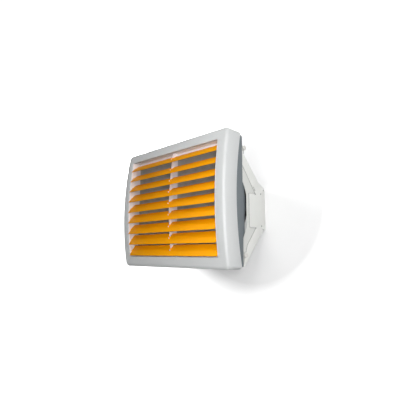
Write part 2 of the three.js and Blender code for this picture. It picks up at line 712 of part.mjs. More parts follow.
function fanRotor() {
  const inner = BELL_RADIUS + TOUCH_GAP;
  const hub = turnedY([
    [inner, FAN_FRONT], [inner + HUB_WALL, FAN_FRONT], [inner + HUB_WALL, bellBack], [inner, bellBack],
    [inner, FAN_FRONT],
  ]);
  const tip = throatRadius - TIP_CLEARANCE;
  const outline = new THREE.Shape();
  const root = inner + TOUCH_GAP;
  const middle = (root + tip) / 2;
  const corner = tip - FAN_TIP_ROUND;
  outline.moveTo(root, -FAN_ROOT_HALF_CHORD);
  outline.quadraticCurveTo(middle, -FAN_LEADING_BULGE, corner, -FAN_TIP_LEAD);
  outline.quadraticCurveTo(tip, 0, corner, FAN_TIP_TRAIL);
  outline.quadraticCurveTo(middle, 0, root, FAN_ROOT_HALF_CHORD);
  outline.closePath();
  const blades = Array.from({ length: FAN_BLADES }, (_, i) => {
    const geometry = new THREE.ExtrudeGeometry(outline,
      { depth: FAN_BLADE_THICKNESS, bevelEnabled: false, curveSegments: 5 });
    geometry.translate(0, 0, -FAN_BLADE_THICKNESS / 2).rotateX(Math.PI / 2);
    geometry.rotateX(THREE.MathUtils.degToRad(FAN_BLADE_PITCH));
    return geometry.rotateY(i * 2 * Math.PI / FAN_BLADES).translate(0, (FAN_FRONT + bellBack) / 2, 0);
  });
  return join(hub, ...blades);
}

function rotorBell() {
  const inside = BELL_RADIUS - BELL_WALL;
  return turnedY([
    [0, FAN_FRONT], [BELL_RADIUS, FAN_FRONT], [BELL_RADIUS, bellBack], [inside, bellBack],
    [inside, FAN_FRONT + BELL_WALL], [0, FAN_FRONT + BELL_WALL],
  ]);
}

function stator() {
  const core = BELL_RADIUS - BELL_WALL - STATOR_AIR_GAP;
  const coreStart = FAN_FRONT + BELL_WALL + STATOR_AIR_GAP;
  const footStart = bellBack + STATOR_AIR_GAP;
  const bore = BEARING_RADIUS + PIN_CLEARANCE;
  return turnedY([
    [bore, coreStart], [core, coreStart], [core, footStart], [BELL_RADIUS, footStart],
    [BELL_RADIUS, footStart + STATOR_FOOT], [core, statorEnd], [bore, statorEnd], [bore, coreStart],
  ]);
}

function bearing(start) {
  const inside = SHAFT_RADIUS + PIN_CLEARANCE;
  const end = start + BEARING_WIDTH;
  return turnedY([
    [inside, start], [BEARING_RADIUS, start], [BEARING_RADIUS, end], [inside, end], [inside, start],
  ], 24);
}

const rearBearing = statorEnd - BEARING_INSET - BEARING_WIDTH;
addPiece('fan_rotor', fanRotor(), blackPlastic);
addPiece('rotor_bell', rotorBell(), zincSteel);
addPiece('motor_shaft', barY(SHAFT_RADIUS, 0, [shaftStart, statorEnd - 2], 0), zincSteel);
addPiece('motor_stator', stator(), blackPaint);
addPiece('front_bearing', bearing(FAN_FRONT + BELL_WALL + STATOR_AIR_GAP + BEARING_INSET), zincSteel);
addPiece('rear_bearing', bearing(rearBearing), zincSteel);

// ---- fan guard ----------------------------------------------------------------------------

const guardOuter = collarRadius - SHELL_WALL;
const guardDishRadius = guardOuter - GUARD_SLOPE;

function wireRing(radius, y) {
  return new THREE.TorusGeometry(radius, GUARD_WIRE, 4, 24).rotateX(Math.PI / 2).translate(0, y, 0);
}

function wireBetween(from, to) {
  const along = new THREE.Vector3().subVectors(to, from);
  const geometry = new THREE.CylinderGeometry(GUARD_WIRE, GUARD_WIRE, along.length(), 4);
  const upright = new THREE.Vector3(0, 1, 0);
  const turn = new THREE.Quaternion().setFromUnitVectors(upright, along.clone().normalize());
  const middle = new THREE.Vector3().addVectors(from, to).multiplyScalar(0.5);
  return geometry.applyQuaternion(turn).translate(middle.x, middle.y, middle.z);
}

function fanGuard() {
  const plate = turnedY([
    [0, guardPlane - GUARD_PLATE / 2], [BELL_RADIUS, guardPlane - GUARD_PLATE / 2],
    [BELL_RADIUS, guardPlane + GUARD_PLATE / 2], [0, guardPlane + GUARD_PLATE / 2],
  ]);
  const pitch = (guardDishRadius - BELL_RADIUS) / GUARD_RINGS;
  const rings = Array.from({ length: GUARD_RINGS },
    (_, i) => wireRing(BELL_RADIUS + pitch * (i + 1), guardPlane));
  const spokes = Array.from({ length: GUARD_SPOKES }, (_, i) => {
    const angle = (i + 0.5) * 2 * Math.PI / GUARD_SPOKES;
    const at = (radius, y) => new THREE.Vector3(radius * Math.cos(angle), y, radius * Math.sin(angle));
    return [
      wireBetween(at(BELL_RADIUS - JOIN_BITE, guardPlane), at(guardDishRadius + 1, guardPlane)),
      wireBetween(at(guardDishRadius, guardPlane), at(guardOuter, guardRimY)),
    ];
  });
  return join(plate, wireRing(guardOuter, guardRimY), ...rings, ...spokes.flat());
}

addPiece('fan_guard', fanGuard(), blackPaint);

// ---- terminal box -------------------------------------------------------------------------

const boxFront = BACK_FACE + TOUCH_GAP;
const boxBack = boxFront + BOX_DEPTH;
const boxBottom = boxMiddleZ - BOX_HEIGHT / 2;
const boxLimits = (inset) => [
  [boxMiddleX - BOX_WIDTH / 2 + inset, boxMiddleX + BOX_WIDTH / 2 - inset],
  [boxMiddleZ - BOX_HEIGHT / 2 + inset, boxMiddleZ + BOX_HEIGHT / 2 - inset],
];
const glandDepth = (boxFront + boxBack) / 2;
const glandBore = GLAND_RADIUS / 2;
const glandSpigot = glandBore + 1;

function terminalBox() {
  const [outerX, outerZ] = boxLimits(0);
  const [innerX, innerZ] = boxLimits(COVER_THICKNESS);
  return cut(
    block(outerX, [boxFront, boxBack], outerZ),
    block(innerX, [boxFront + COVER_THICKNESS, boxBack + 1], innerZ),
    barZ(glandSpigot + PIN_CLEARANCE, boxMiddleX, glandDepth,
      [boxBottom - 1, boxBottom + COVER_THICKNESS + 1]));
}

function terminalCover() {
  const [x, z] = boxLimits(0);
  return block(x, [boxBack + TOUCH_GAP, boxBack + TOUCH_GAP + COVER_THICKNESS], z);
}

function cableGland() {
  const top = boxBottom - TOUCH_GAP;
  return cut(
    join(
      barZ(GLAND_RADIUS, boxMiddleX, glandDepth, [top - GLAND_LENGTH, top], 12),
      barZ(glandSpigot, boxMiddleX, glandDepth, [top - JOIN_BITE, boxBottom + COVER_THICKNESS + JOIN_BITE])),
    barZ(glandBore, boxMiddleX, glandDepth, [top - GLAND_LENGTH - 1, boxBottom + COVER_THICKNESS + 3]));
}

addPiece('terminal_box', terminalBox(), blackPlastic);
addPiece('terminal_box_cover', terminalCover(), blackPlastic);
addPiece('cable_gland', cableGland(), blackPlastic);

// ---- console ------------------------------------------------------------------------------

const wallY = WALL_DISTANCE;
const baseFront = wallY - BASE_REACH;
const stripFront = wallY - BASE_STRIP;
const armFront = KNOB_DEPTH - ARM_END_RADIUS;
const tailEnd = -knobHeight - TAIL_LENGTH;

// The round end of the upper arm, from its outer edge over the top to its front.
function armEnd() {
  const steps = 6;
  const start = THREE.MathUtils.degToRad(ARM_END_START);
  return Array.from({ length: steps + 1 }, (_, i) => {
    const angle = start + (Math.PI - start) * i / steps;
    return [KNOB_DEPTH + ARM_END_RADIUS * Math.cos(angle), knobHeight + ARM_END_RADIUS * Math.sin(angle)];
  });
}

const outerCheekEdge = [
  [armFront + TAIL_WIDTH, tailEnd],
  [wallY - ELBOW_REACH, -knobHeight + ELBOW_RISE],
  [wallY - HEEL_REACH, BASE_BOTTOM - HEEL_DROP],
  [wallY, BASE_BOTTOM], [wallY, BASE_TOP], [wallY - SHOULDER_REACH, BASE_TOP + SHOULDER_RISE],
  [wallY - KNEE_REACH, BASE_TOP + KNEE_RISE], [armFront + NECK_WIDTH, knobHeight - NECK_DROP],
  ...armEnd(),
];

function cheekSheet() {
  return plateAcrossX([
    ...outerCheekEdge,
    [armFront, knobHeight - ARM_NECK_DROP], [baseFront, CREASE_TOP], [baseFront, CREASE_BOTTOM],
    ...THROAT_CHAMFER.map(([reach, drop]) => [baseFront - reach, CREASE_BOTTOM - drop]),
    [armFront, -knobHeight + ARM_END_RADIUS], [armFront, tailEnd + TAIL_CORNER[1]],
    [armFront + TAIL_CORNER[0], tailEnd],
  ], [cheekInner, cheekInner + CHEEK_SHEET]);
}

// The outer strip of the pressing stands proud of the rest by one step.
function cheekStrip() {
  return plateAcrossX([
    ...outerCheekEdge,
    [armFront, knobHeight - STRIP_NECK_DROP],
    [wallY - CREASE_UPPER_REACH, CREASE_TOP], [stripFront, CREASE_TOP],
    [stripFront, CREASE_BOTTOM], [wallY - CREASE_LOWER_REACH, CREASE_BOTTOM],
    [baseFront, -knobHeight + STRIP_KNEE_RISE], [armFront + TAIL_WIDTH / 2, tailEnd],
  ], [cheekInner + CHEEK_SHEET / 2, cheekOuter]);
}

const flangeHeights = [BASE_BOTTOM + WALL_SCREW_INSET, BASE_TOP - WALL_SCREW_INSET];
const wallScrewX = cheekInner - FLANGE_WIDTH / 2;

function cheek() {
  const sheetMiddle = cheekInner + CHEEK_SHEET / 2;
  const flange = block(
    [cheekOuter - FLANGE_WIDTH, sheetMiddle], [wallY - FLANGE_SHEET, wallY], [BASE_BOTTOM, BASE_TOP]);
  const lowerPad = barX(ARM_END_RADIUS, [sheetMiddle, cheekOuter], KNOB_DEPTH, -knobHeight, 20);
  const through = [cheekInner - 1, cheekOuter + 1];
  const upperSlitEnd = wallY - CREASE_UPPER_REACH;
  const lowerSlitEnd = wallY - CREASE_LOWER_REACH;
  const slits = [
    block(through, [upperSlitEnd - UPPER_SLIT_LENGTH, upperSlitEnd], [CREASE_TOP, CREASE_TOP + SLIT_WIDTH]),
    block(through, [lowerSlitEnd - LOWER_SLIT_LENGTH, lowerSlitEnd],
      [CREASE_BOTTOM - SLIT_WIDTH, CREASE_BOTTOM]),
  ];
  const knobHoles = [knobHeight, -knobHeight].map((z) => barX(
    STUD_RADIUS + PIN_CLEARANCE, through, KNOB_DEPTH, z));
  const smallHoles = CHEEK_HOLES.map(([fromWall, z]) => barX(
    CHEEK_HOLE_RADIUS, through, wallY - fromWall, z, 10));
  const screwHoles = flangeHeights.map((z) => barY(
    WALL_SCREW_RADIUS + PIN_CLEARANCE, wallScrewX, [wallY - FLANGE_SHEET - 1, wallY + 1], z));
  const pressing = join(cheekSheet(), cheekStrip(), lowerPad, flange);
  return cut(pressing, ...slits, ...knobHoles, ...smallHoles, ...screwHoles);
}

addPiece('console_cheek_right', cheek(), whiteSteel);
addPiece('console_cheek_left', mirrored(cheek()), whiteSteel);

// ---- fasteners of the console --------------------------------------------------------------

// A clamp knob: a fluted head with a stud through the cheek into the bush.
function knob() {
  const head = new THREE.Shape();
  for (let i = 0; i < 2 * KNOB_FLUTES; i++) {
    const angle = i * Math.PI / KNOB_FLUTES;
    const radius = KNOB_RADIUS - (i % 2) * KNOB_FLUTE_DEPTH;
    const at = [radius * Math.cos(angle), radius * Math.sin(angle)];
    if (i === 0) head.moveTo(...at);
    else head.lineTo(...at);
  }
  const crown = KNOB_CROWN;
  const grip = new THREE.ExtrudeGeometry(head, {
    depth: KNOB_LENGTH - crown,
    bevelThickness: crown,
    bevelSize: crown,
    bevelOffset: -crown,
    bevelSegments: 1,
  });
  const seat = cheekOuter + TOUCH_GAP;
  const placed = grip.rotateY(Math.PI / 2).translate(seat + crown, 0, 0);
  const base = block([seat - crown, seat], [-KNOB_RADIUS, KNOB_RADIUS], [-KNOB_RADIUS, KNOB_RADIUS]);
  const stud = barX(STUD_RADIUS, [waistHalfWidth - BUSH_DEPTH, seat + crown + 1], 0, 0);
  return join(cut(placed, base), stud);
}

function bush() {
  const bore = STUD_RADIUS + PIN_CLEARANCE;
  const flangeEnd = cheekInner - TOUCH_GAP;
  const flangeStart = waistHalfWidth + TOUCH_GAP;
  const start = waistHalfWidth - BUSH_DEPTH;
  return cut(
    join(
      barX(BUSH_RADIUS, [start, flangeEnd - 0.5], 0, 0, 20),
      barX(BUSH_RADIUS + BUSH_FLANGE, [flangeStart, flangeEnd], 0, 0, 20)),
    barX(bore, [start - 1, flangeEnd + 1], 0, 0));
}

function wallScrew() {
  const seat = wallY - FLANGE_SHEET - TOUCH_GAP;
  return join(
    barY(WALL_SCREW_HEAD, 0, [seat - WALL_SCREW_HEAD_HEIGHT, seat], 0, 6),
    barY(WALL_SCREW_RADIUS, 0, [seat - 1, wallY - TOUCH_GAP], 0));
}

const cornerNames = ['right_upper', 'right_lower', 'left_upper', 'left_lower'];
knobPlaces.forEach(([side, end], i) => {
  const place = (geometry) => (side > 0 ? geometry : mirrored(geometry));
  const kinds = [['clamp_knob', knob(), whiteSteel], ['threaded_bush', bush(), brass]];
  for (const [kind, geometry, material] of kinds) {
    const mesh = addPiece(`${kind}_${cornerNames[i]}`, place(geometry), material);
    mesh.position.set(0, KNOB_DEPTH, end * knobHeight);
  }
  const screw = addPiece(`wall_screw_${cornerNames[i]}`, wallScrew(), zincSteel);
  screw.position.set(side * wallScrewX, 0, end > 0 ? flangeHeights[1] : flangeHeights[0]);
});

export default heater;
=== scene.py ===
"""Fan heater on a mounting console: the finished surfaces around the fixed frame."""

from math import cos, pi, radians, sin

import bmesh
import bpy
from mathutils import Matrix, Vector


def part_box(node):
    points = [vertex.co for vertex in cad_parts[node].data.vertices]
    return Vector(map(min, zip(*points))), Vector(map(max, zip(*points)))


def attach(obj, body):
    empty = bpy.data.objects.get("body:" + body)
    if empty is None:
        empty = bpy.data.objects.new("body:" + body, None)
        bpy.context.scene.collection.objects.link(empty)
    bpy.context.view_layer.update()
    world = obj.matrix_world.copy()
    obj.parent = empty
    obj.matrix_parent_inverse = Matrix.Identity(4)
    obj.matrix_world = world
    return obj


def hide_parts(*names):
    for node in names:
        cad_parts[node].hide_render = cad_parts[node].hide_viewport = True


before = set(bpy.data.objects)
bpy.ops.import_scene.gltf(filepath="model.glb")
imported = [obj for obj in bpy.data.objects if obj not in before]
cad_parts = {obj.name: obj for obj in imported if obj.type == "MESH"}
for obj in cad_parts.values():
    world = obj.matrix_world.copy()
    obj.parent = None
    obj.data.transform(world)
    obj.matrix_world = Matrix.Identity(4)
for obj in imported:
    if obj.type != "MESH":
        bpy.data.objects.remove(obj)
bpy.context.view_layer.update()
MM = 0.001


# ---- Camera, lamps and backdrop ------------------------------------------------------------
# The heater hangs on a white wall and is seen from low on its right. The camera stands
# 1.5 m off, and the wall behind the console catches a soft shadow.

CAMERA_PLACE = Vector((1.0711, -1.2462, -0.1881))
CAMERA_YAW = radians(43.21)
CAMERA_PITCH = radians(8.995)
CAMERA_ROLL = radians(0.337)
CAMERA_LENS = 30.881


def new_object(name, data):
    made = bpy.data.objects.new(name, data)
    bpy.context.scene.collection.objects.link(made)
    return made


camera = new_object("camera", bpy.data.cameras.new("camera"))
camera.data.lens = CAMERA_LENS
camera.location = CAMERA_PLACE
camera.rotation_euler = (pi / 2 + CAMERA_PITCH, 0, CAMERA_YAW)
camera.rotation_euler.rotate_axis("Z", CAMERA_ROLL)
bpy.context.scene.camera = camera
bpy.context.scene.view_settings.view_transform = "Standard"


def linear(hex_code):
    """An sRGB hex colour as linear RGBA."""
    channels = [int(hex_code[i:i + 2], 16) / 255 for i in (1, 3, 5)]
    return [c / 12.92 if c <= 0.04045 else ((c + 0.055) / 1.055) ** 2.4 for c in channels] + [1.0]


def add_node(tree, kind, settings=None, links=None):
    """Adds a shader node with its settings (attributes or sockets) and its incoming links.

    A link comes from a socket, or from the first socket of a node."""
    made = tree.nodes.new("ShaderNode" + kind)
    for name, value in (settings or {}).items():
        if isinstance(name, str) and hasattr(made, name):
            setattr(made, name, value)
        else:
            made.inputs[name].default_value = value
    for socket, source in (links or {}).items():
        tree.links.new(getattr(source, "outputs", (source,))[0], made.inputs[socket])
    return made


def empty_tree(owner):
    """The cleared node tree of a material or a world."""
    owner.use_nodes = True
    owner.node_tree.nodes.clear()
    return owner.node_tree


def area_lamp(name, place, power, size, aim=(0.1, -0.2, 0)):
    """A rectangular lamp, in metres and watts, turned towards a point of the heater."""
    lamp = bpy.data.lights.new(name, "AREA")
    lamp.shape = "RECTANGLE"
    lamp.size, lamp.size_y = size
    lamp.energy = power
    holder = new_object(name, lamp)
    holder.location = place
    holder.rotation_euler = (Vector(aim) - Vector(place)).to_track_quat("-Z", "Y").to_euler()
    holder.visible_camera = False
    return holder


area_lamp("flash_by_camera", (1.15, -1.2, -0.15), 9.8, (0.3, 0.3))
area_lamp("flash_above_right", (0.75, -1.0, 0.6), 3, (0.5, 0.5))
area_lamp("softbox_top_left", (-0.9, -1.5, 1.8), 6, (1.0, 1.0))
area_lamp("softbox_right", (1.7, -0.7, 0.5), 3.6, (0.6, 0.6))
area_lamp("fill_front", (0.5, -1.9, 0), 6.3, (0.9, 0.9))
wall_washer = area_lamp("wall_washer", (-0.85, -0.12, 0.62), 46, (0.25, 0.2), (0.4, -0.05, 0))
area_lamp("softbox_behind", (-1.3, 1.5, 0.5), 12, (1.0, 1.0), (0, -0.1, 0))

# The world is a weak light, and plain white where the camera sees it.
WORLD_STRENGTH = 0.08
WHITE = linear("#FFFFFF")

world = bpy.data.worlds.new("studio")
bpy.context.scene.world = world
sky_tree = empty_tree(world)
rays = add_node(sky_tree, "LightPath")
seen = add_node(sky_tree, "MapRange", {"To Min": WORLD_STRENGTH, "To Max": 1.0},
    {"Value": rays.outputs["Is Camera Ray"]})
sky = add_node(sky_tree, "Background", {"Color": WHITE}, {"Strength": seen})
add_node(sky_tree, "OutputWorld", links={"Surface": sky})

# The wall and floor are matt white. For the camera a little white is added, and more away
# from the heater, so that the bare backdrop reads as white and still keeps the shadow.
# Both sheets show one face only and let the lamp behind through, so that the heater's back
# can be seen. The wall washer lights the wall alone.
WALL_BRIGHTENING = 0.22
SHADOW_PLACE = (0.2, 0, 0.02)
SHADOW_REACH = 0.33
WHITE_FROM = 0.46
FLOOR_HEIGHT = -1.3
STAGE_REACH = 6.0


def surfaced(material, shader):
    """Puts a finished shader on a material's surface."""
    add_node(material.node_tree, "OutputMaterial", links={"Surface": shader})
    return material


def backdrop_white():
    material = bpy.data.materials.new("matt white backdrop")
    tree = empty_tree(material)
    path = add_node(tree, "LightPath")
    camera_ray = path.outputs["Is Camera Ray"]
    place = add_node(tree, "NewGeometry")
    away = add_node(tree, "VectorMath", {"operation": "DISTANCE", 1: SHADOW_PLACE},
        {0: place.outputs["Position"]})
    added = add_node(tree, "MapRange", {"From Min": SHADOW_REACH, "From Max": WHITE_FROM,
        "To Min": WALL_BRIGHTENING, "To Max": 1.0}, {"Value": away.outputs["Value"]})
    strength = add_node(tree, "Math", {"operation": "MULTIPLY"}, {0: camera_ray, 1: added})
    matt = add_node(tree, "BsdfDiffuse", {"Color": linear("#DCDCDC")})
    glow = add_node(tree, "Emission", {"Color": WHITE}, {"Strength": strength})
    both = add_node(tree, "AddShader", links={0: matt, 1: glow})
    see_through = add_node(tree, "Math", {"operation": "MULTIPLY_ADD"},
        {0: camera_ray, 1: place.outputs["Backfacing"], 2: path.outputs["Is Shadow Ray"]})
    clear = add_node(tree, "BsdfTransparent")
    sheet = add_node(tree, "MixShader", links={0: see_through, 1: both, 2: clear})
    return surfaced(material, sheet)


def stage_sheet(name, near, far):
    """A white rectangle as wide as the stage, between two edges, each given by its y and z."""
    mesh = bpy.data.meshes.new(name)
    corners = [(x, *edge) for edge, xs in ((near, (-STAGE_REACH, STAGE_REACH)),
        (far, (STAGE_REACH, -STAGE_REACH))) for x in xs]
    mesh.from_pydata(corners, [], [(0, 1, 2, 3)])
    mesh.materials.append(backdrop)
    sheet = new_object(name, mesh)
    return sheet


backdrop = backdrop_white()
corner_line = (0.5 * MM, FLOOR_HEIGHT)
wall = stage_sheet("wall", corner_line, (corner_line[0], STAGE_REACH))
stage_sheet("floor", (-STAGE_REACH, FLOOR_HEIGHT), corner_line)
washed = bpy.data.collections.new("lit_by_wall_washer")
washed.objects.link(wall)
wall_washer.light_linking.receiver_collection = washed


# ---- Front shell ---------------------------------------------------------------------------
# The casing's front is one moulding of light grey ABS with a bowed face, a rounded front
# edge and a square outlet. Its rear edge is bowed too and overlaps the rear shell.

CASING_LOW, CASING_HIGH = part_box("front_shell")
CENTRE_HEIGHT = (CASING_LOW.z + CASING_HIGH.z) / 2
HALF_WIDTH = (CASING_HIGH.x - CASING_LOW.x) / 2 / MM
HALF_HEIGHT = (CASING_HIGH.z - CASING_LOW.z) / 2 / MM
FRONT_BOW = 26
REAR_EDGE_BOW = 31
FRONT_DEPTH = (CASING_HIGH.y - CASING_LOW.y) / MM - FRONT_BOW
FRONT_PLANE = CASING_HIGH.y - FRONT_DEPTH * MM
CORNER_RADIUS = 18
EDGE_RADIUS = 12
WALL = 3
SIDE_BORDER = 42
TOP_BORDER = 44
OPENING_CORNER = 3
LIP_DEPTH = 5
LIP_WALL = 2.5
EDGE_SOFTENING = 1.0
SHELL_SCREW_X = HALF_WIDTH - 95
SHELL_SCREW_DEPTH = 72.5
SHELL_SCREW_HEAD = 4.5
SHELL_SCREW_SINK = 1.9


def in_row(x, y, z):
    """A place measured in mm from the casing's middle and its front plane, in the row frame."""
    return Vector((x * MM, FRONT_PLANE + y * MM, CENTRE_HEIGHT + z * MM))


def bow_share(z):
    """How much of the bow stands at a height z above the casing's middle."""
    return 1 - (z / HALF_HEIGHT) ** 2


def quarter_ring(width, height, corner, side_steps=14, corner_steps=8, top_steps=3):
    """A quarter of a rounded rectangle, or of a circle where the corner fills it."""
    if corner >= min(width, height) - 1e-6:
        steps = side_steps + corner_steps + top_steps
        return [(width * cos(i / steps * pi / 2), height * sin(i / steps * pi / 2)) for i in range(steps)]
    side = [(width, (height - corner) * i / side_steps) for i in range(side_steps)]
    turn = [(width - corner + corner * cos(i / corner_steps * pi / 2),
        height - corner + corner * sin(i / corner_steps * pi / 2)) for i in range(corner_steps)]
    top = [((width - corner) * (1 - i / top_steps), height) for i in range(top_steps)]
    return side + turn + top


def full_ring(width, height, corner):
    quarter = quarter_ring(width, height, corner)
    back = quarter[:0:-1]
    return (quarter + [(0, height)] + [(-x, z) for x, z in back]
        + [(-x, -z) for x, z in quarter] + [(0, -height)] + [(x, -z) for x, z in back])


def finish_mesh(piece, smooth_angle=35):
    """Merges doubled points, turns faces outwards and smooths edges flatter than the angle."""
    work = bmesh.new()
    work.from_mesh(piece.data)
    bmesh.ops.remove_doubles(work, verts=work.verts, dist=0.01 * MM)
    bmesh.ops.recalc_face_normals(work, faces=work.faces)
    for face in work.faces:
        face.smooth = True
    for edge in work.edges:
        edge.smooth = len(edge.link_faces) == 2 and edge.calc_face_angle(pi) < radians(smooth_angle)
    work.to_mesh(piece.data)
    work.free()


def object_from(name, vertices, faces, smooth_angle=35):
    """A mesh object from points in mm in the casing's own frame."""
    mesh = bpy.data.meshes.new(name)
    mesh.from_pydata([in_row(*v) for v in vertices], [], faces)
    piece = new_object(name, mesh)
    finish_mesh(piece, smooth_angle)
    return piece


def tube_faces(rings, sides, closed=False):
    """The faces that join rows of points, and both end faces unless the last row meets the first."""
    faces = [(i * sides + k, i * sides + (k + 1) % sides, (i + 1) % rings * sides + (k + 1) % sides,
        (i + 1) % rings * sides + k) for i in range(rings if closed else rings - 1) for k in range(sides)]
    if closed:
        return faces
    return faces + [tuple(range(sides)), tuple(range((rings - 1) * sides, rings * sides))]


def ring_shell(name, rings):
    """Skins a closed loop of rings. Each is (width, height, corner, depth, bow)."""
    vertices = [(x, depth - bow * bow_share(z), z) for width, height, corner, depth, bow in rings
        for x, z in full_ring(width, height, corner)]
    return object_from(name, vertices, tube_faces(len(rings), len(vertices) // len(rings), True), 30)


def turned(name, profile, centre, along, sides=48):
    """A closed [radius, distance] profile turned round the axis through a centre."""
    axis = Vector(along).normalized()
    side = axis.orthogonal().normalized()
    other = axis.cross(side)
    vertices, faces = [], []
    count = len(profile)
    for i in range(sides):
        out = side * cos(2 * pi * i / sides) + other * sin(2 * pi * i / sides)
        vertices += [Vector(centre) + out * r + axis * d for r, d in profile]
        following = (i + 1) % sides
        for k in range(count):
            n = (k + 1) % count
            if profile[k][0] or profile[n][0]:
                faces.append((i * count + k, following * count + k, following * count + n, i * count + n))
    return object_from(name, vertices, faces)


def bake(piece, smooth_angle=35):
    """Makes a piece's modifiers part of its mesh."""
    shape = piece.evaluated_get(bpy.context.evaluated_depsgraph_get())
    mesh = bpy.data.meshes.new_from_object(shape)
    piece.modifiers.clear()
    piece.data = mesh
    finish_mesh(piece, smooth_angle)


def combine(piece, others, operation="DIFFERENCE", smooth_angle=35):
    """Cuts the others out of a piece, or joins them to it, and drops them."""
    for other in others:
        step = piece.modifiers.new(operation, "BOOLEAN")
        step.operation = operation
        step.object = other
        step.solver = "EXACT"
    bake(piece, smooth_angle)
    for other in others:
        bpy.data.objects.remove(other)


def soften(piece, width, segments=2, smooth_angle=50):
    """Rounds a piece's edges by a width in mm."""
    step = piece.modifiers.new("edge", "BEVEL")
    step.width = width * MM
    step.segments = segments
    step.limit_method = "ANGLE"
    step.angle_limit = radians(30)
    bake(piece, smooth_angle)


def rod(name, radius, centre, along, sides=40):
    """A round tool or pin: from a centre along a vector, in mm."""
    length = Vector(along).length
    return turned(name, [(0, 0), (radius, 0), (radius, length), (0, length)], centre, along, sides)


def casing_ring(inset, depth, bow=None, top_inset=None):
    if bow is None:
        bow = FRONT_BOW + (REAR_EDGE_BOW - FRONT_BOW) * depth / FRONT_DEPTH
    corner = max(CORNER_RADIUS - inset, OPENING_CORNER)
    top_inset = inset if top_inset is None else top_inset
    return (HALF_WIDTH - inset, HALF_HEIGHT - top_inset, corner, depth, bow)


def arc(middle, radius, start, end, steps=6):
    """Points on an arc, as (inset, depth), with angles from +inset towards +depth."""
    angles = [radians(start + (end - start) * i / steps) for i in range(steps + 1)]
    return [(middle[0] + radius * cos(a), middle[1] + radius * sin(a)) for a in angles]


def build_front_shell():
    soft = EDGE_SOFTENING
    extra = TOP_BORDER - SIDE_BORDER
    lip_inset = SIDE_BORDER - LIP_WALL
    edge = (EDGE_RADIUS, EDGE_RADIUS)
    rings = [casing_ring(SIDE_BORDER, LIP_DEPTH, FRONT_BOW, TOP_BORDER)]
    rings += [casing_ring(i, d, FRONT_BOW, i + extra)
        for i, d in arc((SIDE_BORDER - soft, soft), soft, 0, -90, 4)]
    rings += [casing_ring(i, d) for i, d in arc(edge, EDGE_RADIUS, -90, -180, 10)
        + arc((soft / 2, FRONT_DEPTH - soft / 2), soft / 2, 180, 90, 2) + [(WALL, FRONT_DEPTH)]
        + arc(edge, EDGE_RADIUS - WALL, -180, -90, 4)]
    rings += [casing_ring(lip_inset, depth, FRONT_BOW, lip_inset + extra) for depth in (WALL, LIP_DEPTH)]
    shell = ring_shell("front_shell_moulding", rings)
    tools = []
    for x in (-SHELL_SCREW_X, SHELL_SCREW_X):
        for side in (-1, 1):
            seat = side * (HALF_HEIGHT - SHELL_SCREW_SINK)
            tools.append(rod("counterbore", SHELL_SCREW_HEAD + 0.3, (x, SHELL_SCREW_DEPTH, seat),
                (0, 0, side * 5)))
    combine(shell, tools, smooth_angle=30)
    return shell


# Moulded plastic is dense and opaque. The mould's spark-eroded grain breaks up its gloss.
MOULD_GRAIN = 1.2 * MM
SINK_SPAN = 140 * MM


def patterned_material(name):
    """A new material, its empty tree, and the piece's own coordinates for its patterns."""
    material = bpy.data.materials.new(name)
    tree = empty_tree(material)
    return material, tree, add_node(tree, "TexCoord").outputs["Object"]


def moulded_plastic(name, base_hex, roughness, grain_strength=0.12, tone_change=0.03, specular=0.5):
    """ABS or nylon with mould grain, slight unevenness of tone and a soft sheen."""
    material, tree, place = patterned_material(name)
    drift = add_node(tree, "TexNoise", {"Scale": 1 / SINK_SPAN, "Detail": 2.0}, {"Vector": place})
    tone = add_node(tree, "MapRange",
        {"To Min": 1 - tone_change, "To Max": 1 + tone_change}, {"Value": drift})
    base = add_node(tree, "Mix", {"data_type": "RGBA", "blend_type": "MULTIPLY", 0: 1.0, 6: linear(base_hex)},
        {7: tone})
    grain = add_node(tree, "TexNoise", {"Scale": 1 / MOULD_GRAIN, "Detail": 3.0}, {"Vector": place})
    gloss = add_node(tree, "MapRange",
        {"To Min": roughness - 0.06, "To Max": roughness + 0.06}, {"Value": grain})
    bump = add_node(tree, "Bump", {"Strength": grain_strength, "Distance": 0.1 * MM}, {"Height": grain})
    shader = add_node(tree, "BsdfPrincipled", {"IOR": 1.53, "Specular IOR Level": specular},
        {"Base Color": base.outputs[2], "Roughness": gloss, "Normal": bump})
    return surfaced(material, shader)


def dress(piece, material):
    piece.data.materials.clear()
    piece.data.materials.append(material)


def place_piece(piece, material, node, body="casing", name=None):
    """Names and dresses a piece, and puts it on its body in place of the frame's node."""
    piece.name = name or node
    dress(piece, material)
    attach(piece, body)
    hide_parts(node)


light_grey_abs = moulded_plastic("moulded ABS, light grey", "#D3D5D5", 0.45)
place_piece(build_front_shell(), light_grey_abs, "front_shell",
    name="front_shell_moulding")


# ---- Rear shell ----------------------------------------------------------------------------
# The casing's back half is one moulding of blue-grey ABS. A tongue slides into the front
# shell, a shoulder narrows it for the console, and a round cowl at the back holds the fan.

TONGUE_GAP = 0.3
TONGUE_START = 66
REAR_STEP = 8
SHOULDER_START = 98
SHOULDER_END = 109
WAIST_INSET = 36
WAIST_DROP = 15
WAIST_CORNER = 40
BACK_FACE = 152
BACK_ROUND = 9
COLLAR_RADIUS = 236
COLLAR_END = 209
THROAT_RADIUS = 230
THROAT_FRONT = 163
THROAT_BACK = 196
KNOB_DEPTH = 126
KNOB_HEIGHT = 212
BUSH_RADIUS = 8
STUB_X = -287.35
STUB_HEIGHT = 50
STUB_HOLE = 9


def waist_ring(inset, depth):
    width, height = HALF_WIDTH - WAIST_INSET - inset, HALF_HEIGHT - WAIST_DROP - inset
    return (width, height, WAIST_CORNER - inset, depth, 0)


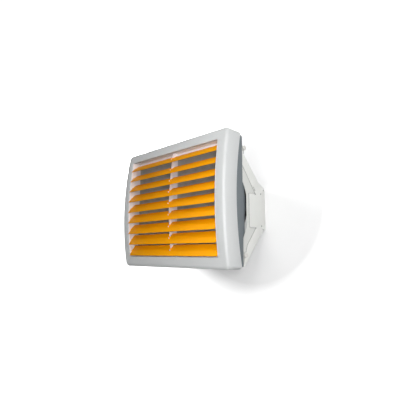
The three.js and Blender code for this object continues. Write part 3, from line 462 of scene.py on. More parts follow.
def build_rear_shell():
    soft = EDGE_SOFTENING
    tongue = WALL + TONGUE_GAP
    step = FRONT_DEPTH - TONGUE_GAP
    back_edge = arc((BACK_ROUND, BACK_FACE - BACK_ROUND), BACK_ROUND, 180, 90, 6)
    rings = [casing_ring(*ring) for ring in (
        (tongue, TONGUE_START, REAR_EDGE_BOW), (tongue, step, REAR_EDGE_BOW), (REAR_STEP, step, REAR_EDGE_BOW),
        (REAR_STEP, SHOULDER_START - 3, 0), (REAR_STEP + 1, SHOULDER_START, 0))]
    rings += [waist_ring(*ring) for ring in [(-1, SHOULDER_END - 1), (0, SHOULDER_END + 1)] + back_edge]
    rings += [(radius, radius, radius, depth, 0) for radius, depth in ((COLLAR_RADIUS + soft, BACK_FACE),
        (COLLAR_RADIUS, BACK_FACE + soft), (COLLAR_RADIUS - 1, COLLAR_END - soft),
        (COLLAR_RADIUS - 1 - soft, COLLAR_END), (COLLAR_RADIUS - 1 - WALL, COLLAR_END),
        (THROAT_RADIUS, THROAT_BACK), (THROAT_RADIUS, THROAT_FRONT), (COLLAR_RADIUS - WALL, BACK_FACE - WALL))]
    rings += [waist_ring(*ring) for ring in ((BACK_ROUND + WALL, BACK_FACE - WALL),
        (WALL, BACK_FACE - BACK_ROUND - WALL), (WALL, SHOULDER_END - WALL))]
    rings += [casing_ring(*ring) for ring in ((REAR_STEP + WALL, SHOULDER_START - WALL, 0),
        (REAR_STEP + WALL, step - WALL, REAR_EDGE_BOW), (tongue + WALL, step - WALL, REAR_EDGE_BOW),
        (tongue + WALL, TONGUE_START, REAR_EDGE_BOW))]
    shell = ring_shell("rear_shell_moulding", rings)
    waist_side = HALF_WIDTH - WAIST_INSET
    tools = [rod("stub_hole", STUB_HOLE, (STUB_X, SHOULDER_START - 5, z), (0, 40, 0))
        for z in (-STUB_HEIGHT, STUB_HEIGHT)]
    tools += [rod("bush_hole", BUSH_RADIUS + 0.3, (side * (waist_side - 6), KNOB_DEPTH, z), (side * 12, 0, 0))
        for side in (-1, 1) for z in (-KNOB_HEIGHT, KNOB_HEIGHT)]
    combine(shell, tools, smooth_angle=30)
    return shell


blue_grey_abs = moulded_plastic("moulded ABS, blue grey", "#6C7479", 0.5)
place_piece(build_rear_shell(), blue_grey_abs, "rear_shell", name="rear_shell_moulding")


# ---- Shell screws --------------------------------------------------------------------------
# Four zinc plated screws in counterbores at the top and bottom hold the two halves together.
# Each has a flat head with a cross recess.

SCREW_SHANK = 2
SCREW_REACH = 9
SCREW_HEAD_DEPTH = 1.6
RECESS_LENGTH = 4.4
RECESS_WIDTH = 1.1
RECESS_DEPTH = 0.9


def slab_faces(count):
    """The faces of a slab: its two flat sides and the edge between them."""
    return [tuple(range(count)), tuple(range(2 * count - 1, count - 1, -1)), *tube_faces(2, count)[:count]]


def plate(name, outline, x0, x1, smooth_angle=35):
    """A flat outline of [y, z] points, thickened from x0 to x1."""
    vertices = [(x, y, z) for x in (x0, x1) for y, z in outline]
    return object_from(name, vertices, slab_faces(len(outline)), smooth_angle)


def block(name, xs, ys, zs):
    return plate(name, [(ys[0], zs[0]), (ys[1], zs[0]), (ys[1], zs[1]), (ys[0], zs[1])], *xs)


def zinc_plate(name, base_hex="#B9BCBD", roughness=0.36):
    """Zinc plated steel: a bright metal whose gloss varies with faint crystal mottling and broad clouds."""
    material, tree, place = patterned_material(name)
    mottle = add_node(tree, "TexVoronoi", {"Scale": 1 / (3 * MM)}, {"Vector": place})
    cloud = add_node(tree, "TexNoise", {"Scale": 1 / (25 * MM), "Detail": 4.0}, {"Vector": place})
    both = add_node(tree, "Math", {"operation": "MULTIPLY_ADD", 1: 0.25},
        {0: mottle.outputs["Distance"], 2: cloud})
    gloss = add_node(tree, "MapRange", {"From Max": 1.2, "To Min": roughness - 0.1, "To Max": roughness + 0.12},
        {"Value": both})
    shader = add_node(tree, "BsdfPrincipled", {"Base Color": linear(base_hex), "Metallic": 1.0},
        {"Roughness": gloss})
    return surfaced(material, shader)


zinc_steel = zinc_plate("zinc plated steel")
for corner, (end, side) in enumerate(((1, -1), (1, 1), (-1, -1), (-1, 1)), 1):
    top = end * HALF_HEIGHT
    place = (side * SHELL_SCREW_X, SHELL_SCREW_DEPTH, top - end * SCREW_HEAD_DEPTH)
    screw = rod("screw_head", SHELL_SCREW_HEAD, place, (0, 0, end * SCREW_HEAD_DEPTH))
    soften(screw, 0.3)
    shank = rod("shank", SCREW_SHANK, (place[0], place[1], top - end * SCREW_REACH), (0, 0, end * 8))
    combine(screw, [shank], "UNION")
    floor = sorted((top - end * RECESS_DEPTH, top + end))
    x, y = place[:2]
    recess = [block("recess", (x - a / 2, x + a / 2), (y - b / 2, y + b / 2), floor)
        for a, b in ((RECESS_LENGTH, RECESS_WIDTH), (RECESS_WIDTH, RECESS_LENGTH))]
    combine(screw, recess)
    place_piece(screw, zinc_steel, f"shell_screw_{corner}", name=f"shell_screw_head_{corner}")


# ---- Outlet: rails, liners and centre rib --------------------------------------------------
# Pale grey plastic strips line the outlet. The side rails and the rib in the middle carry the
# pins of the louvre blades, and the top and bottom liners have short slots.

SIDES = ((1, "right"), (-1, "left"))
RAIL_INNER = 264.7
RAIL_OUTER = 267.7
RAIL_REAR = 34.7
RAIL_TOP = 220.5
RAIL_FLANGE = 279.7
LINER_REACH = 263.9
LINER_FRONT = 9
LINER_LOW = 221.5
LINER_HIGH = 223.5
LINER_LIP = 7
LINER_WEB = 261.7
LINER_SLOTS = (-239.9, -80, 80, 239.9)
SLOT_HALF = 1.5
SLOT_LENGTH = 10
PIN_HOLE = 2.8
RIB_HALF = 1.5
RIB_EAR = 4.3
PIN_BORE = 2.3
BLADE_COUNT = 9
BLADE_PITCH = 48.35
BLADE_AXIS_DEPTH = 13.5


def front_face(z):
    return -FRONT_BOW * bow_share(z)


def heights(limit, steps):
    return [limit * (2 * i / steps - 1) for i in range(steps + 1)]


BLADE_HEIGHTS = [BLADE_PITCH * ((BLADE_COUNT - 1) / 2 - i) for i in range(BLADE_COUNT)]


def mirror(piece, axis=0, middle=0):
    """Turns a right hand piece into its left hand one, or an upper one into a lower."""
    for vertex in piece.data.vertices:
        vertex.co[axis] = 2 * middle - vertex.co[axis]
    piece.data.flip_normals()


def build_rail(side):
    edge = [(front_face(z) + 1, z) for z in heights(RAIL_TOP, 40)]
    rail = plate("louvre_rail", edge + [(RAIL_REAR, RAIL_TOP), (RAIL_REAR, -RAIL_TOP)], RAIL_INNER, RAIL_OUTER)
    front = [(front_face(z) + LIP_DEPTH + 0.3, z) for z in heights(RAIL_TOP, 40)]
    back = [(y + 2.5, z) for y, z in reversed(front)]
    flange = plate("flange", front + back, RAIL_INNER + 1.5, RAIL_FLANGE)
    holes = [rod("pin_hole", PIN_HOLE, (RAIL_INNER - 1, front_face(z) + BLADE_AXIS_DEPTH, z), (6, 0, 0), 24)
        for z in BLADE_HEIGHTS]
    combine(rail, [flange], "UNION")
    combine(rail, holes)
    soften(rail, 0.4)
    if side < 0:
        mirror(rail)
    return rail


def build_liner(side):
    strip = block("outlet_liner",
        (-LINER_REACH, LINER_REACH), (LINER_FRONT, RAIL_REAR), (LINER_LOW, LINER_HIGH))
    web = block("web", (-LINER_REACH, LINER_REACH), (RAIL_REAR - 2, RAIL_REAR),
        (LINER_LOW - LINER_LIP, LINER_WEB))
    slots = [block("slot", (x - SLOT_HALF, x + SLOT_HALF), (LINER_FRONT + 2, LINER_FRONT + 2 + SLOT_LENGTH),
        (LINER_LOW - 1, LINER_HIGH + 1)) for x in LINER_SLOTS]
    combine(strip, [web], "UNION")
    combine(strip, slots)
    soften(strip, 0.4)
    if side < 0:
        mirror(strip, 2, CENTRE_HEIGHT)
    return strip


def build_rib():
    top = LINER_LOW - 0.3
    edge = [(front_face(z) + BLADE_AXIS_DEPTH + PIN_BORE, z) for z in heights(top, 40)]
    notch, low = RAIL_REAR - 2.3, top - LINER_LIP
    rib = plate("centre_rib", edge + [(notch, top), (notch, low), (RAIL_REAR, low), (RAIL_REAR, -low),
        (notch, -low), (notch, -top)], -RIB_HALF, RIB_HALF)
    places = [(front_face(z) + BLADE_AXIS_DEPTH, z) for z in BLADE_HEIGHTS]
    ears = [rod("ear", RIB_EAR, (-RIB_HALF, y, z), (2 * RIB_HALF, 0, 0), 32) for y, z in places]
    bores = [rod("bore", PIN_BORE, (-4, y, z), (8, 0, 0), 24) for y, z in places]
    combine(rib, ears, "UNION")
    combine(rib, bores)
    soften(rib, 0.3)
    return rib


pale_abs = moulded_plastic("moulded ABS, pale grey", "#F5F3F7", 0.42)
for side, word in SIDES:
    place_piece(build_rail(side), pale_abs, f"louvre_rail_{word}")
for side, word in ((1, "top"), (-1, "bottom")):
    place_piece(build_liner(side), pale_abs, f"outlet_liner_{word}")
place_piece(build_rib(), pale_abs, "centre_rib")


# ---- Louvre blades -------------------------------------------------------------------------
# Nine blades moulded in glossy orange plastic, cambered, with rounded edges. Each turns on
# end pins in the rails, and on a thin pin in the rib that its middle notch straddles.

BLADE_CHORD = 54.75
BLADE_THICK = 3
BLADE_EDGE = 1.6
BLADE_CAMBER = 1.5
NOTCH_HALF = 2.2
NOTCH_START = -5.0
RIB_PIN = 2
END_PIN = 2.5
END_PIN_REACH = 267.4
TILT_MIDDLE = 48
TILT_SPREAD = 8
LUG_LENGTH = 15
LUG_HEIGHT = 9
LUG_THICKNESS = 1.2


def blade_section():
    """The blade's closed outline as (s, t): s along the chord, t up."""
    half = BLADE_CHORD / 2
    nose = BLADE_EDGE / 2
    reach = half - nose

    def place(s, face):
        share = (s / half) ** 2
        return (s, -BLADE_CAMBER * share + face * (BLADE_THICK - (BLADE_THICK - BLADE_EDGE) * share) / 2)

    def round_edge(s, start):
        angles = [radians(start + 30 * i) for i in range(5)]
        return [(s + nose * cos(a), middle + nose * sin(a)) for a in angles]

    along = [reach * (2 * i / 20 - 1) for i in range(21)]
    middle = -BLADE_CAMBER * (reach / half) ** 2
    return ([place(s, -1) for s in along] + round_edge(reach, -60)
        + [place(s, 1) for s in reversed(along)] + round_edge(-reach, 120))


def build_blade(z):
    blade = plate("louvre_blade", blade_section(), -LINER_REACH, LINER_REACH, 40)
    notch = block("notch", (-NOTCH_HALF, NOTCH_HALF), (NOTCH_START, BLADE_CHORD), (-12, 12))
    combine(blade, [notch])
    soften(blade, 0.35, 2, 40)
    parts = [rod("rib_pin", RIB_PIN, (-NOTCH_HALF - 1, 0, 0), (2 * NOTCH_HALF + 2, 0, 0), 24),
        rod("end_pin", END_PIN, (-END_PIN_REACH, 0, 0), (END_PIN_REACH - LINER_REACH + 2, 0, 0), 24),
        rod("end_pin", END_PIN, (LINER_REACH - 2, 0, 0), (END_PIN_REACH - LINER_REACH + 2, 0, 0), 24)]
    for side in (-1, 1):
        inner = side * (NOTCH_HALF + 0.1)
        outline = [(-2, 0), (LUG_LENGTH, -0.5), (LUG_LENGTH - 3, 1.2),
            (1, LUG_HEIGHT - 3.4), (-2, LUG_HEIGHT - 5)]
        parts.append(plate("lug", outline, *sorted((inner, inner + side * LUG_THICKNESS))))
    combine(blade, parts, "UNION", 40)
    turn = radians(TILT_MIDDLE - TILT_SPREAD * z / BLADE_HEIGHTS[0])
    axis = in_row(0, 0, 0)
    shift = Vector((0, (front_face(z) + BLADE_AXIS_DEPTH) * MM, z * MM))
    for vertex in blade.data.vertices:
        x, y, up = vertex.co - axis
        vertex.co = axis + shift + Vector((x, y * cos(turn) - up * sin(turn), y * sin(turn) + up * cos(turn)))
    return blade


orange_abs = moulded_plastic("moulded ABS, orange", "#FFAC00", 0.46, 0.05, 0.02, 0.12)
for number, z in enumerate(BLADE_HEIGHTS, 1):
    place_piece(build_blade(z), orange_abs, f"louvre_blade_{number}", f"blade_{number}")


# ---- Coil ----------------------------------------------------------------------------------
# Thin aluminium fins stand on copper tubes between two folded end plates. Hairpin bends join
# the tubes on the right, and two copper headers with threaded plugs feed them on the left.

FIN_REACH = 262.4
FIN_FRONT = 35
FIN_REAR = 95
FIN_HALF_HEIGHT = 221.5
FIN_COUNT = 150
FIN_SHEET = 0.5
FIN_RIPPLES = 12
FIN_RIPPLE_DEPTH = 0.5
TUBE_RADIUS = 4.5
TUBE_DEPTH = 65
BEND_RADIUS = 15
BEND_HEIGHTS = (-150, -50, 50, 150)
PLATE_INNER = 262.7
PLATE_OUTER = 264.7
PLATE_FLANGE = 272.7
PLATE_HALF_HEIGHT = 223.5
HEADER_RADIUS = 11
HEADER_START = 10
HEADER_END = 200
STUB_RADIUS = 8
STUB_BORE = 5
FEED_REACH = 22.3
STUB_END = 136
FEED_PITCH = 70
PLUG_RADIUS = 9
PLUG_END = 208


def build_fins():
    """Thin fins with waves pressed in along their height, and the tubes that join them."""
    rows = FIN_RIPPLES * 2
    vertices, faces = [], []
    for i in range(FIN_COUNT):
        x = -FIN_REACH + FIN_SHEET + (2 * FIN_REACH - 2 * FIN_SHEET) * i / (FIN_COUNT - 1)
        start = len(vertices)
        for k in range(rows + 1):
            z = FIN_HALF_HEIGHT * (2 * k / rows - 1)
            bend = FIN_RIPPLE_DEPTH * (k % 2) * (0 if i in (0, FIN_COUNT - 1) else 1)
            left, right = x - FIN_SHEET / 2 + bend, x + FIN_SHEET / 2 + bend
            vertices += [(left, FIN_FRONT, z), (right, FIN_FRONT, z),
                (right, FIN_REAR, z), (left, FIN_REAR, z)]
        faces += [[start + corner for corner in face] for face in tube_faces(rows + 1, 4)]
    fins = object_from("coil_fins", vertices, faces)
    tubes = [
        rod("tube", TUBE_RADIUS, (-FIN_REACH, TUBE_DEPTH, z + end * BEND_RADIUS), (2 * FIN_REACH, 0, 0), 16)
        for z in BEND_HEIGHTS for end in (-1, 1)]
    return fins, tubes


def build_side_plate():
    limits = (-PLATE_HALF_HEIGHT, PLATE_HALF_HEIGHT)
    web = block("coil_side_plate", (PLATE_INNER, PLATE_OUTER), (FIN_FRONT, FIN_REAR), limits)
    flanges = [block("flange", (PLATE_INNER, PLATE_FLANGE), ys, limits)
        for ys in ((FIN_FRONT, FIN_FRONT + 2), (FIN_REAR - 2, FIN_REAR))]
    combine(web, flanges, "UNION")
    soften(web, 0.5)
    return web


def build_header(end):
    def at(height, depth=TUBE_DEPTH):
        return (STUB_X, depth, end * height)

    low, high = sorted((end * HEADER_START, end * HEADER_END))
    pipe = rod("header", HEADER_RADIUS, (STUB_X, TUBE_DEPTH, low), (0, 0, high - low), 40)
    soften(pipe, 1.0, 3)
    stub = rod("stub", STUB_RADIUS, at(STUB_HEIGHT), (0, STUB_END - TUBE_DEPTH, 0), 40)
    soften(stub, 0.5)
    feeds = [rod("feed", TUBE_RADIUS, at(HEADER_START + n * FEED_PITCH), (FEED_REACH, 0, 0), 24)
        for n in (1, 2)]
    combine(pipe, [stub] + feeds, "UNION")
    bore = rod("bore", STUB_BORE, at(STUB_HEIGHT, TUBE_DEPTH + HEADER_RADIUS), (0, 80, 0), 40)
    combine(pipe, [bore, rod("socket", HEADER_RADIUS - 3, at(HEADER_END - 20), (0, 0, end * 30), 40)])
    return pipe


def build_plug(end):
    plug = turned("plug", [(0, 0.3), (PLUG_RADIUS, 0.3), (PLUG_RADIUS, 7.2), (PLUG_RADIUS - 1, 8), (0, 8)],
        (STUB_X, TUBE_DEPTH, end * HEADER_END), (0, 0, end), 6)
    inside = (STUB_X, TUBE_DEPTH, end * (HEADER_END - 12))
    spigot = rod("spigot", HEADER_RADIUS - 3.3, inside, (0, 0, end * 14), 32)
    slot = block("slot", (STUB_X - 5, STUB_X + 5), (TUBE_DEPTH - 0.8, TUBE_DEPTH + 0.8),
        sorted((end * (PLUG_END - 1.5), end * (PLUG_END + 2))))
    combine(plug, [spigot], "UNION")
    combine(plug, [slot])
    return plug


def build_bend(z, sides=20, steps=20):
    """A hairpin of tube on the outer side of the right end plate."""
    start, leg = PLATE_OUTER + 0.3, 6
    path = [((start, z - BEND_RADIUS), 0)]
    for i in range(steps + 1):
        turn = pi * i / steps
        path.append(((start + leg + BEND_RADIUS * sin(turn), z - BEND_RADIUS * cos(turn)), turn))
    path.append(((start, z + BEND_RADIUS), pi))
    vertices = []
    for (x, height), turn in path:
        for k in range(sides):
            round_at = 2 * pi * k / sides
            out = TUBE_RADIUS * cos(round_at)
            vertices.append((x + out * sin(turn), TUBE_DEPTH + TUBE_RADIUS * sin(round_at),
                height - out * cos(turn)))
    return object_from("return_bend", vertices, tube_faces(len(path), sides))


def fin_aluminium():
    """Dulled aluminium strip with uneven patches of dust."""
    material, tree, place = patterned_material("rolled aluminium fins")
    dust_and_painted_shade = add_node(tree, "TexNoise", {"Scale": 1 / (40 * MM), "Detail": 4.0}, {"Vector": place})
    tone = add_node(tree, "Mix", {"data_type": "RGBA", 6: linear("#A3A9A8"), 7: linear("#CCD0CE")}, {0: dust_and_painted_shade})
    shader = add_node(tree, "BsdfPrincipled", {"Metallic": 0.35, "Roughness": 0.5},
        {"Base Color": tone.outputs[2]})
    return surfaced(material, shader)


def drawn_metal(name, base_hex, stain_hex, roughness):
    """Drawn or turned metal with slightly stained patches."""
    material, tree, place = patterned_material(name)
    stain = add_node(tree, "TexNoise", {"Scale": 1 / (18 * MM), "Detail": 5.0}, {"Vector": place})
    tone = add_node(tree, "Mix", {"data_type": "RGBA", 6: linear(base_hex), 7: linear(stain_hex)}, {0: stain})
    gloss = add_node(tree, "MapRange",
        {"To Min": roughness - 0.1, "To Max": roughness + 0.15}, {"Value": stain})
    shader = add_node(tree, "BsdfPrincipled", {"Metallic": 1.0},
        {"Base Color": tone.outputs[2], "Roughness": gloss})
    return surfaced(material, shader)


fin_metal = fin_aluminium()
copper = drawn_metal("drawn copper", "#C9835C", "#9C5A38", 0.35)
brass = drawn_metal("turned brass", "#C9AE62", "#A38643", 0.32)
fins, tubes = build_fins()
place_piece(fins, fin_metal, "coil_fins")
for number, tube in enumerate(tubes, 1):
    tube.name = f"coil_tube_{number}"
    dress(tube, copper)
    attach(tube, "casing")
for side, word in SIDES:
    side_plate = build_side_plate()
    if side < 0:
        mirror(side_plate)
    place_piece(side_plate, zinc_steel, f"coil_side_plate_{word}")
for end, pipe_word, plug_word in ((-1, "supply", "drain"), (1, "return", "vent")):
    place_piece(build_header(end), copper, f"{pipe_word}_header")
    place_piece(build_plug(end), brass, f"{plug_word}_plug")
for number, z in enumerate(BEND_HEIGHTS, 1):
    place_piece(build_bend(z), copper, f"return_bend_{number}")


# ---- Fan and motor -------------------------------------------------------------------------
# A moulded rotor with five sickle blades is pressed onto the bell of an external rotor motor.
# The painted stator body hangs in the guard's middle plate, with the shaft in two bearings.

FAN_FRONT = 160
FAN_BACK = 196
HUB_INNER = 50.3
HUB_OUTER = 54.3
FAN_TIP = 225
FAN_BLADES = 5
FAN_PITCH = 24
FAN_SHEET = 2.5
BELL_RADIUS = 50
BELL_INNER = 47
STATOR_CORE = 46
STATOR_BORE = 13.3
STATOR_FRONT = 164
STATOR_END = 227.7
FOOT_START = 197
FOOT_END = 219
SHAFT_RADIUS = 6
SHAFT_START = 163.3
SHAFT_END = 225.7
BEARING_WIDTH = 8
BEARING_HALF = ((6.3, 0), (8, 0), (8.2, 0.6), (10.8, 0.6), (11, 0), (13, 0))
BEARINGS = (("front", 170), ("rear", 213.7))


def round_fan_axis(name, profile, sides=72):
    """A closed (radius, depth) profile turned round the fan's own axis."""
    return turned(name, profile, (0, 0, 0), (0, 1, 0), sides)


def mirrored(start, end, half):
    """A profile that is the same from both ends; its half is given from the start."""
    return [(radius, start + d) for radius, d in half] + [(radius, end - d) for radius, d in reversed(half)]


def sickle_outline(steps=10):
    """The blade seen along the axis: a root, a bulged leading edge, a round tip and a trail."""
    root, tip = HUB_INNER + 0.3, FAN_TIP
    middle, corner = (root + tip) / 2, tip - 15
    corners = [(root, -24), (middle, -62), (corner, -30), (tip, 0), (corner, 44), (middle, 0), (root, 24)]
    points = []
    for i in (0, 2, 4):
        start, handle, end = (Vector(p) for p in corners[i:i + 3])
        for k in range(steps):
            t = k / steps
            points.append(start * (1 - t) ** 2 + handle * 2 * t * (1 - t) + end * t ** 2)
    points.append(Vector(corners[6]))
    return points


def build_fan():
    middle = (FAN_FRONT + FAN_BACK) / 2
    half = [(HUB_INNER, 0), (HUB_OUTER - 1, 0), (HUB_OUTER, 1)]
    hub = round_fan_axis("fan_rotor", mirrored(FAN_FRONT, FAN_BACK, half))
    outline = sickle_outline()
    tilt = radians(FAN_PITCH)
    blades = []
    for n in range(FAN_BLADES):
        turn = 2 * pi * n / FAN_BLADES
        vertices = []
        for face in (-1, 1):
            for x, across in outline:
                y = -across * sin(tilt) - face * FAN_SHEET / 2 * cos(tilt)
                z = across * cos(tilt) - face * FAN_SHEET / 2 * sin(tilt)
                vertices.append((x * cos(turn) + z * sin(turn), middle + y, -x * sin(turn) + z * cos(turn)))
        blade = object_from("fan_blade", vertices, slab_faces(len(outline)))
        soften(blade, 0.6)
        blades.append(blade)
    combine(hub, blades, "UNION", 40)
    return hub


def satin_paint(name, base_hex, roughness):
    """Sprayed satin paint with slight orange peel."""
    material, tree, place = patterned_material(name)
    peel = add_node(tree, "TexNoise", {"Scale": 1 / (2.5 * MM), "Detail": 2.0}, {"Vector": place})
    gloss = add_node(tree, "MapRange",
        {"To Min": roughness - 0.05, "To Max": roughness + 0.08}, {"Value": peel})
    bump = add_node(tree, "Bump", {"Strength": 0.15, "Distance": 0.05 * MM}, {"Height": peel})
    shader = add_node(tree, "BsdfPrincipled", {"Base Color": linear(base_hex), "IOR": 1.5},
        {"Roughness": gloss, "Normal": bump})
    return surfaced(material, shader)


black_nylon = moulded_plastic("moulded nylon, black", "#26282A", 0.5, 0.2)
black_paint = satin_paint("satin paint, black", "#1D1E20", 0.4)
place_piece(build_fan(), black_nylon, "fan_rotor", "fan")
bell = round_fan_axis("rotor_bell", [(0, FAN_FRONT), (BELL_RADIUS - 6, FAN_FRONT),
    (BELL_RADIUS - 1.5, FAN_FRONT + 0.8), (BELL_RADIUS, FAN_FRONT + 4), (BELL_RADIUS, FAN_BACK),
    (BELL_INNER, FAN_BACK), (BELL_INNER, FAN_FRONT + 5), (BELL_INNER - 2, FAN_FRONT + 3), (0, FAN_FRONT + 3)])
place_piece(bell, zinc_steel, "rotor_bell", "fan")
shaft_half = [(0, 0), (SHAFT_RADIUS - 1, 0), (SHAFT_RADIUS, 1)]
shaft = round_fan_axis("motor_shaft", mirrored(SHAFT_START, SHAFT_END, shaft_half), 32)
place_piece(shaft, zinc_steel, "motor_shaft", "fan")
stator = round_fan_axis("motor_stator", [(STATOR_BORE, STATOR_FRONT), (STATOR_CORE, STATOR_FRONT),
    (STATOR_CORE, FOOT_START), (BELL_RADIUS - 1, FOOT_START), (BELL_RADIUS, FOOT_START + 1),
    (BELL_RADIUS, FOOT_END - 1), (BELL_RADIUS - 1, FOOT_END), (STATOR_CORE, FOOT_END),
    (STATOR_CORE, STATOR_END - 1), (STATOR_CORE - 1, STATOR_END), (STATOR_BORE, STATOR_END)])
place_piece(stator, black_paint, "motor_stator")
for word, start in BEARINGS:
    race = round_fan_axis(f"{word}_bearing", mirrored(start, start + BEARING_WIDTH, BEARING_HALF), 48)
    place_piece(race, zinc_steel, f"{word}_bearing")


# ---- Fan guard -----------------------------------------------------------------------------
# Steel wire rings and cranked spokes are spot welded around a middle plate that carries the
# motor, and the whole guard is painted black. Its rim rests on the end of the cowl.

WIRE = 2.2
GUARD_RIM = 233
GUARD_RIM_DEPTH = 211.5
GUARD_DISH = 225
GUARD_DEPTH = 229.5
GUARD_PLATE = 3
GUARD_RINGS = 4
GUARD_SPOKES = 6


def wire_ring(radius, depth, sides=12, steps=96):
    profile = [(radius + WIRE * cos(2 * pi * k / sides), depth + WIRE * sin(2 * pi * k / sides))
        for k in range(sides)]
    return round_fan_axis("wire_ring", profile, steps)


def guard_parts():
    half = GUARD_PLATE / 2
    plate_half = [(0, 0), (BELL_RADIUS - 0.5, 0), (BELL_RADIUS, 0.5)]
    parts = [round_fan_axis("guard_plate", mirrored(GUARD_DEPTH - half, GUARD_DEPTH + half, plate_half)),
        wire_ring(GUARD_RIM, GUARD_RIM_DEPTH)]
    pitch = (GUARD_DISH - BELL_RADIUS) / GUARD_RINGS
    parts += [wire_ring(BELL_RADIUS + pitch * (i + 1), GUARD_DEPTH) for i in range(GUARD_RINGS)]
    for i in range(GUARD_SPOKES):
        turn = 2 * pi * (i + 0.5) / GUARD_SPOKES
        out = Vector((cos(turn), 0, sin(turn)))
        bend = out * GUARD_DISH + Vector((0, GUARD_DEPTH, 0))
        rim = out * GUARD_RIM + Vector((0, GUARD_RIM_DEPTH, 0))
        inner = out * (BELL_RADIUS - 2) + Vector((0, GUARD_DEPTH, 0))
        parts += [rod("spoke", WIRE, inner, bend - inner, 12), rod("spoke", WIRE, bend, rim - bend, 12)]
    return parts


guard, *guard_wires = guard_parts()
combine(guard, guard_wires, "UNION", 45)
place_piece(guard, black_paint, "fan_guard")


# ---- Terminal box --------------------------------------------------------------------------
# A black moulded box on the back of the casing takes the mains cable through a gland below.
# Its cover is held by four screws.

BOX_FRONT = 152.3
BOX_BACK = 180.3
COVER_FRONT = 180.6
COVER_BACK = 183.6
BOX_WALL = 3
GLAND_DEPTH = 166.3
GLAND_BOTTOM = 165.7
GLAND_TOP = 181.7
GLAND_RADIUS = 8
COVER_SCREW_INSET = 6
BOX_X = (-253, -203)
BOX_Z = (182, 226)

box = block("terminal_box", BOX_X, (BOX_FRONT, BOX_BACK), BOX_Z)
soften(box, 1.2, 3)
gland_x = sum(BOX_X) / 2
inside_x, inside_z = [(low + BOX_WALL, high - BOX_WALL) for low, high in (BOX_X, BOX_Z)]
combine(box, [block("inside", inside_x, (BOX_FRONT + BOX_WALL, BOX_BACK + 1), inside_z),
    rod("gland_hole", 5.3, (gland_x, GLAND_DEPTH, GLAND_TOP - 1), (0, 0, BOX_WALL + 3))])
place_piece(box, black_nylon, "terminal_box")
cover = block("terminal_box_cover", BOX_X, (COVER_FRONT, COVER_BACK), BOX_Z)
soften(cover, 1.2, 3)
corners = [(x, z) for x in (BOX_X[0] + COVER_SCREW_INSET, BOX_X[1] - COVER_SCREW_INSET)
    for z in (BOX_Z[0] + COVER_SCREW_INSET, BOX_Z[1] - COVER_SCREW_INSET)]
combine(cover, [rod("sink", 3, (x, COVER_BACK - 1.2, z), (0, 3, 0), 24) for x, z in corners])
combine(cover, [rod("screw", 2.6, (x, COVER_BACK - 2, z), (0, 1.6, 0), 24) for x, z in corners], "UNION")
combine(cover, [block("slot", (x - 2.2, x + 2.2), (COVER_BACK - 0.9, COVER_BACK + 1), (z - 0.4, z + 0.4))
    for x, z in corners])
place_piece(cover, black_nylon, "terminal_box_cover")
gland = turned("cable_gland", [(4, GLAND_BOTTOM), (6.2, GLAND_BOTTOM), (7.4, GLAND_BOTTOM + 2),
    (GLAND_RADIUS, GLAND_BOTTOM + 8), (GLAND_RADIUS, GLAND_TOP), (5, GLAND_TOP), (5, GLAND_TOP + 5.3),
    (4, GLAND_TOP + 5.3)], (gland_x, GLAND_DEPTH, 0), (0, 0, 1), 12)
place_piece(gland, black_nylon, "cable_gland")


# ---- Console -------------------------------------------------------------------------------
# Two pressed sheet steel cheeks, powder coated white, carry the casing. The outer strip of
# each stands proud of the rest, and a flange folded inwards is screwed to the wall.

WALL_PLANE = 285
CHEEK_INNER = 277
CHEEK_SHEET = 2
CHEEK_OUTER = 281
FLANGE_INNER = 238
FLANGE_SHEET = 3
BASE_TOP = 60
BASE_BOTTOM = -104
BASE_FRONT = WALL_PLANE - 131
STRIP_FRONT = WALL_PLANE - 115
ARM_RADIUS = 10
ARM_FRONT = KNOB_DEPTH - ARM_RADIUS
TAIL_END = -KNOB_HEIGHT - 46
TAIL_WIDTH = 17
CREASE_TOP = 35
CREASE_BOTTOM = -101
CREASE_UPPER = WALL_PLANE - 67
CREASE_LOWER = WALL_PLANE - 68
SLIT_WIDTH = 3.5
BEND_SLIT = ((198.8, 64.2), (203.0, 67.0), (213.4, 51.7), (209.2, 48.9))
CHEEK_HOLES = ((31, 42), (11, 60), (29, -93), (19, -107))
STUD_HOLE = 3.3
WALL_SCREW_X = 255.5
WALL_SCREW_HEIGHTS = (32, -76)
# How near other sheet of the same cheek must be for the painted crease shade to darken the coat.
CREASE_SHADE_REACH = 6 * MM
SET_BACK_TONE = 0.87


def arm_end():
    """The round end of the upper arm, from its outer edge over the top to its front."""
    angles = [radians(-30 + 210 * i / 24) for i in range(25)]
    return [(KNOB_DEPTH + ARM_RADIUS * cos(a), KNOB_HEIGHT + ARM_RADIUS * sin(a)) for a in angles]


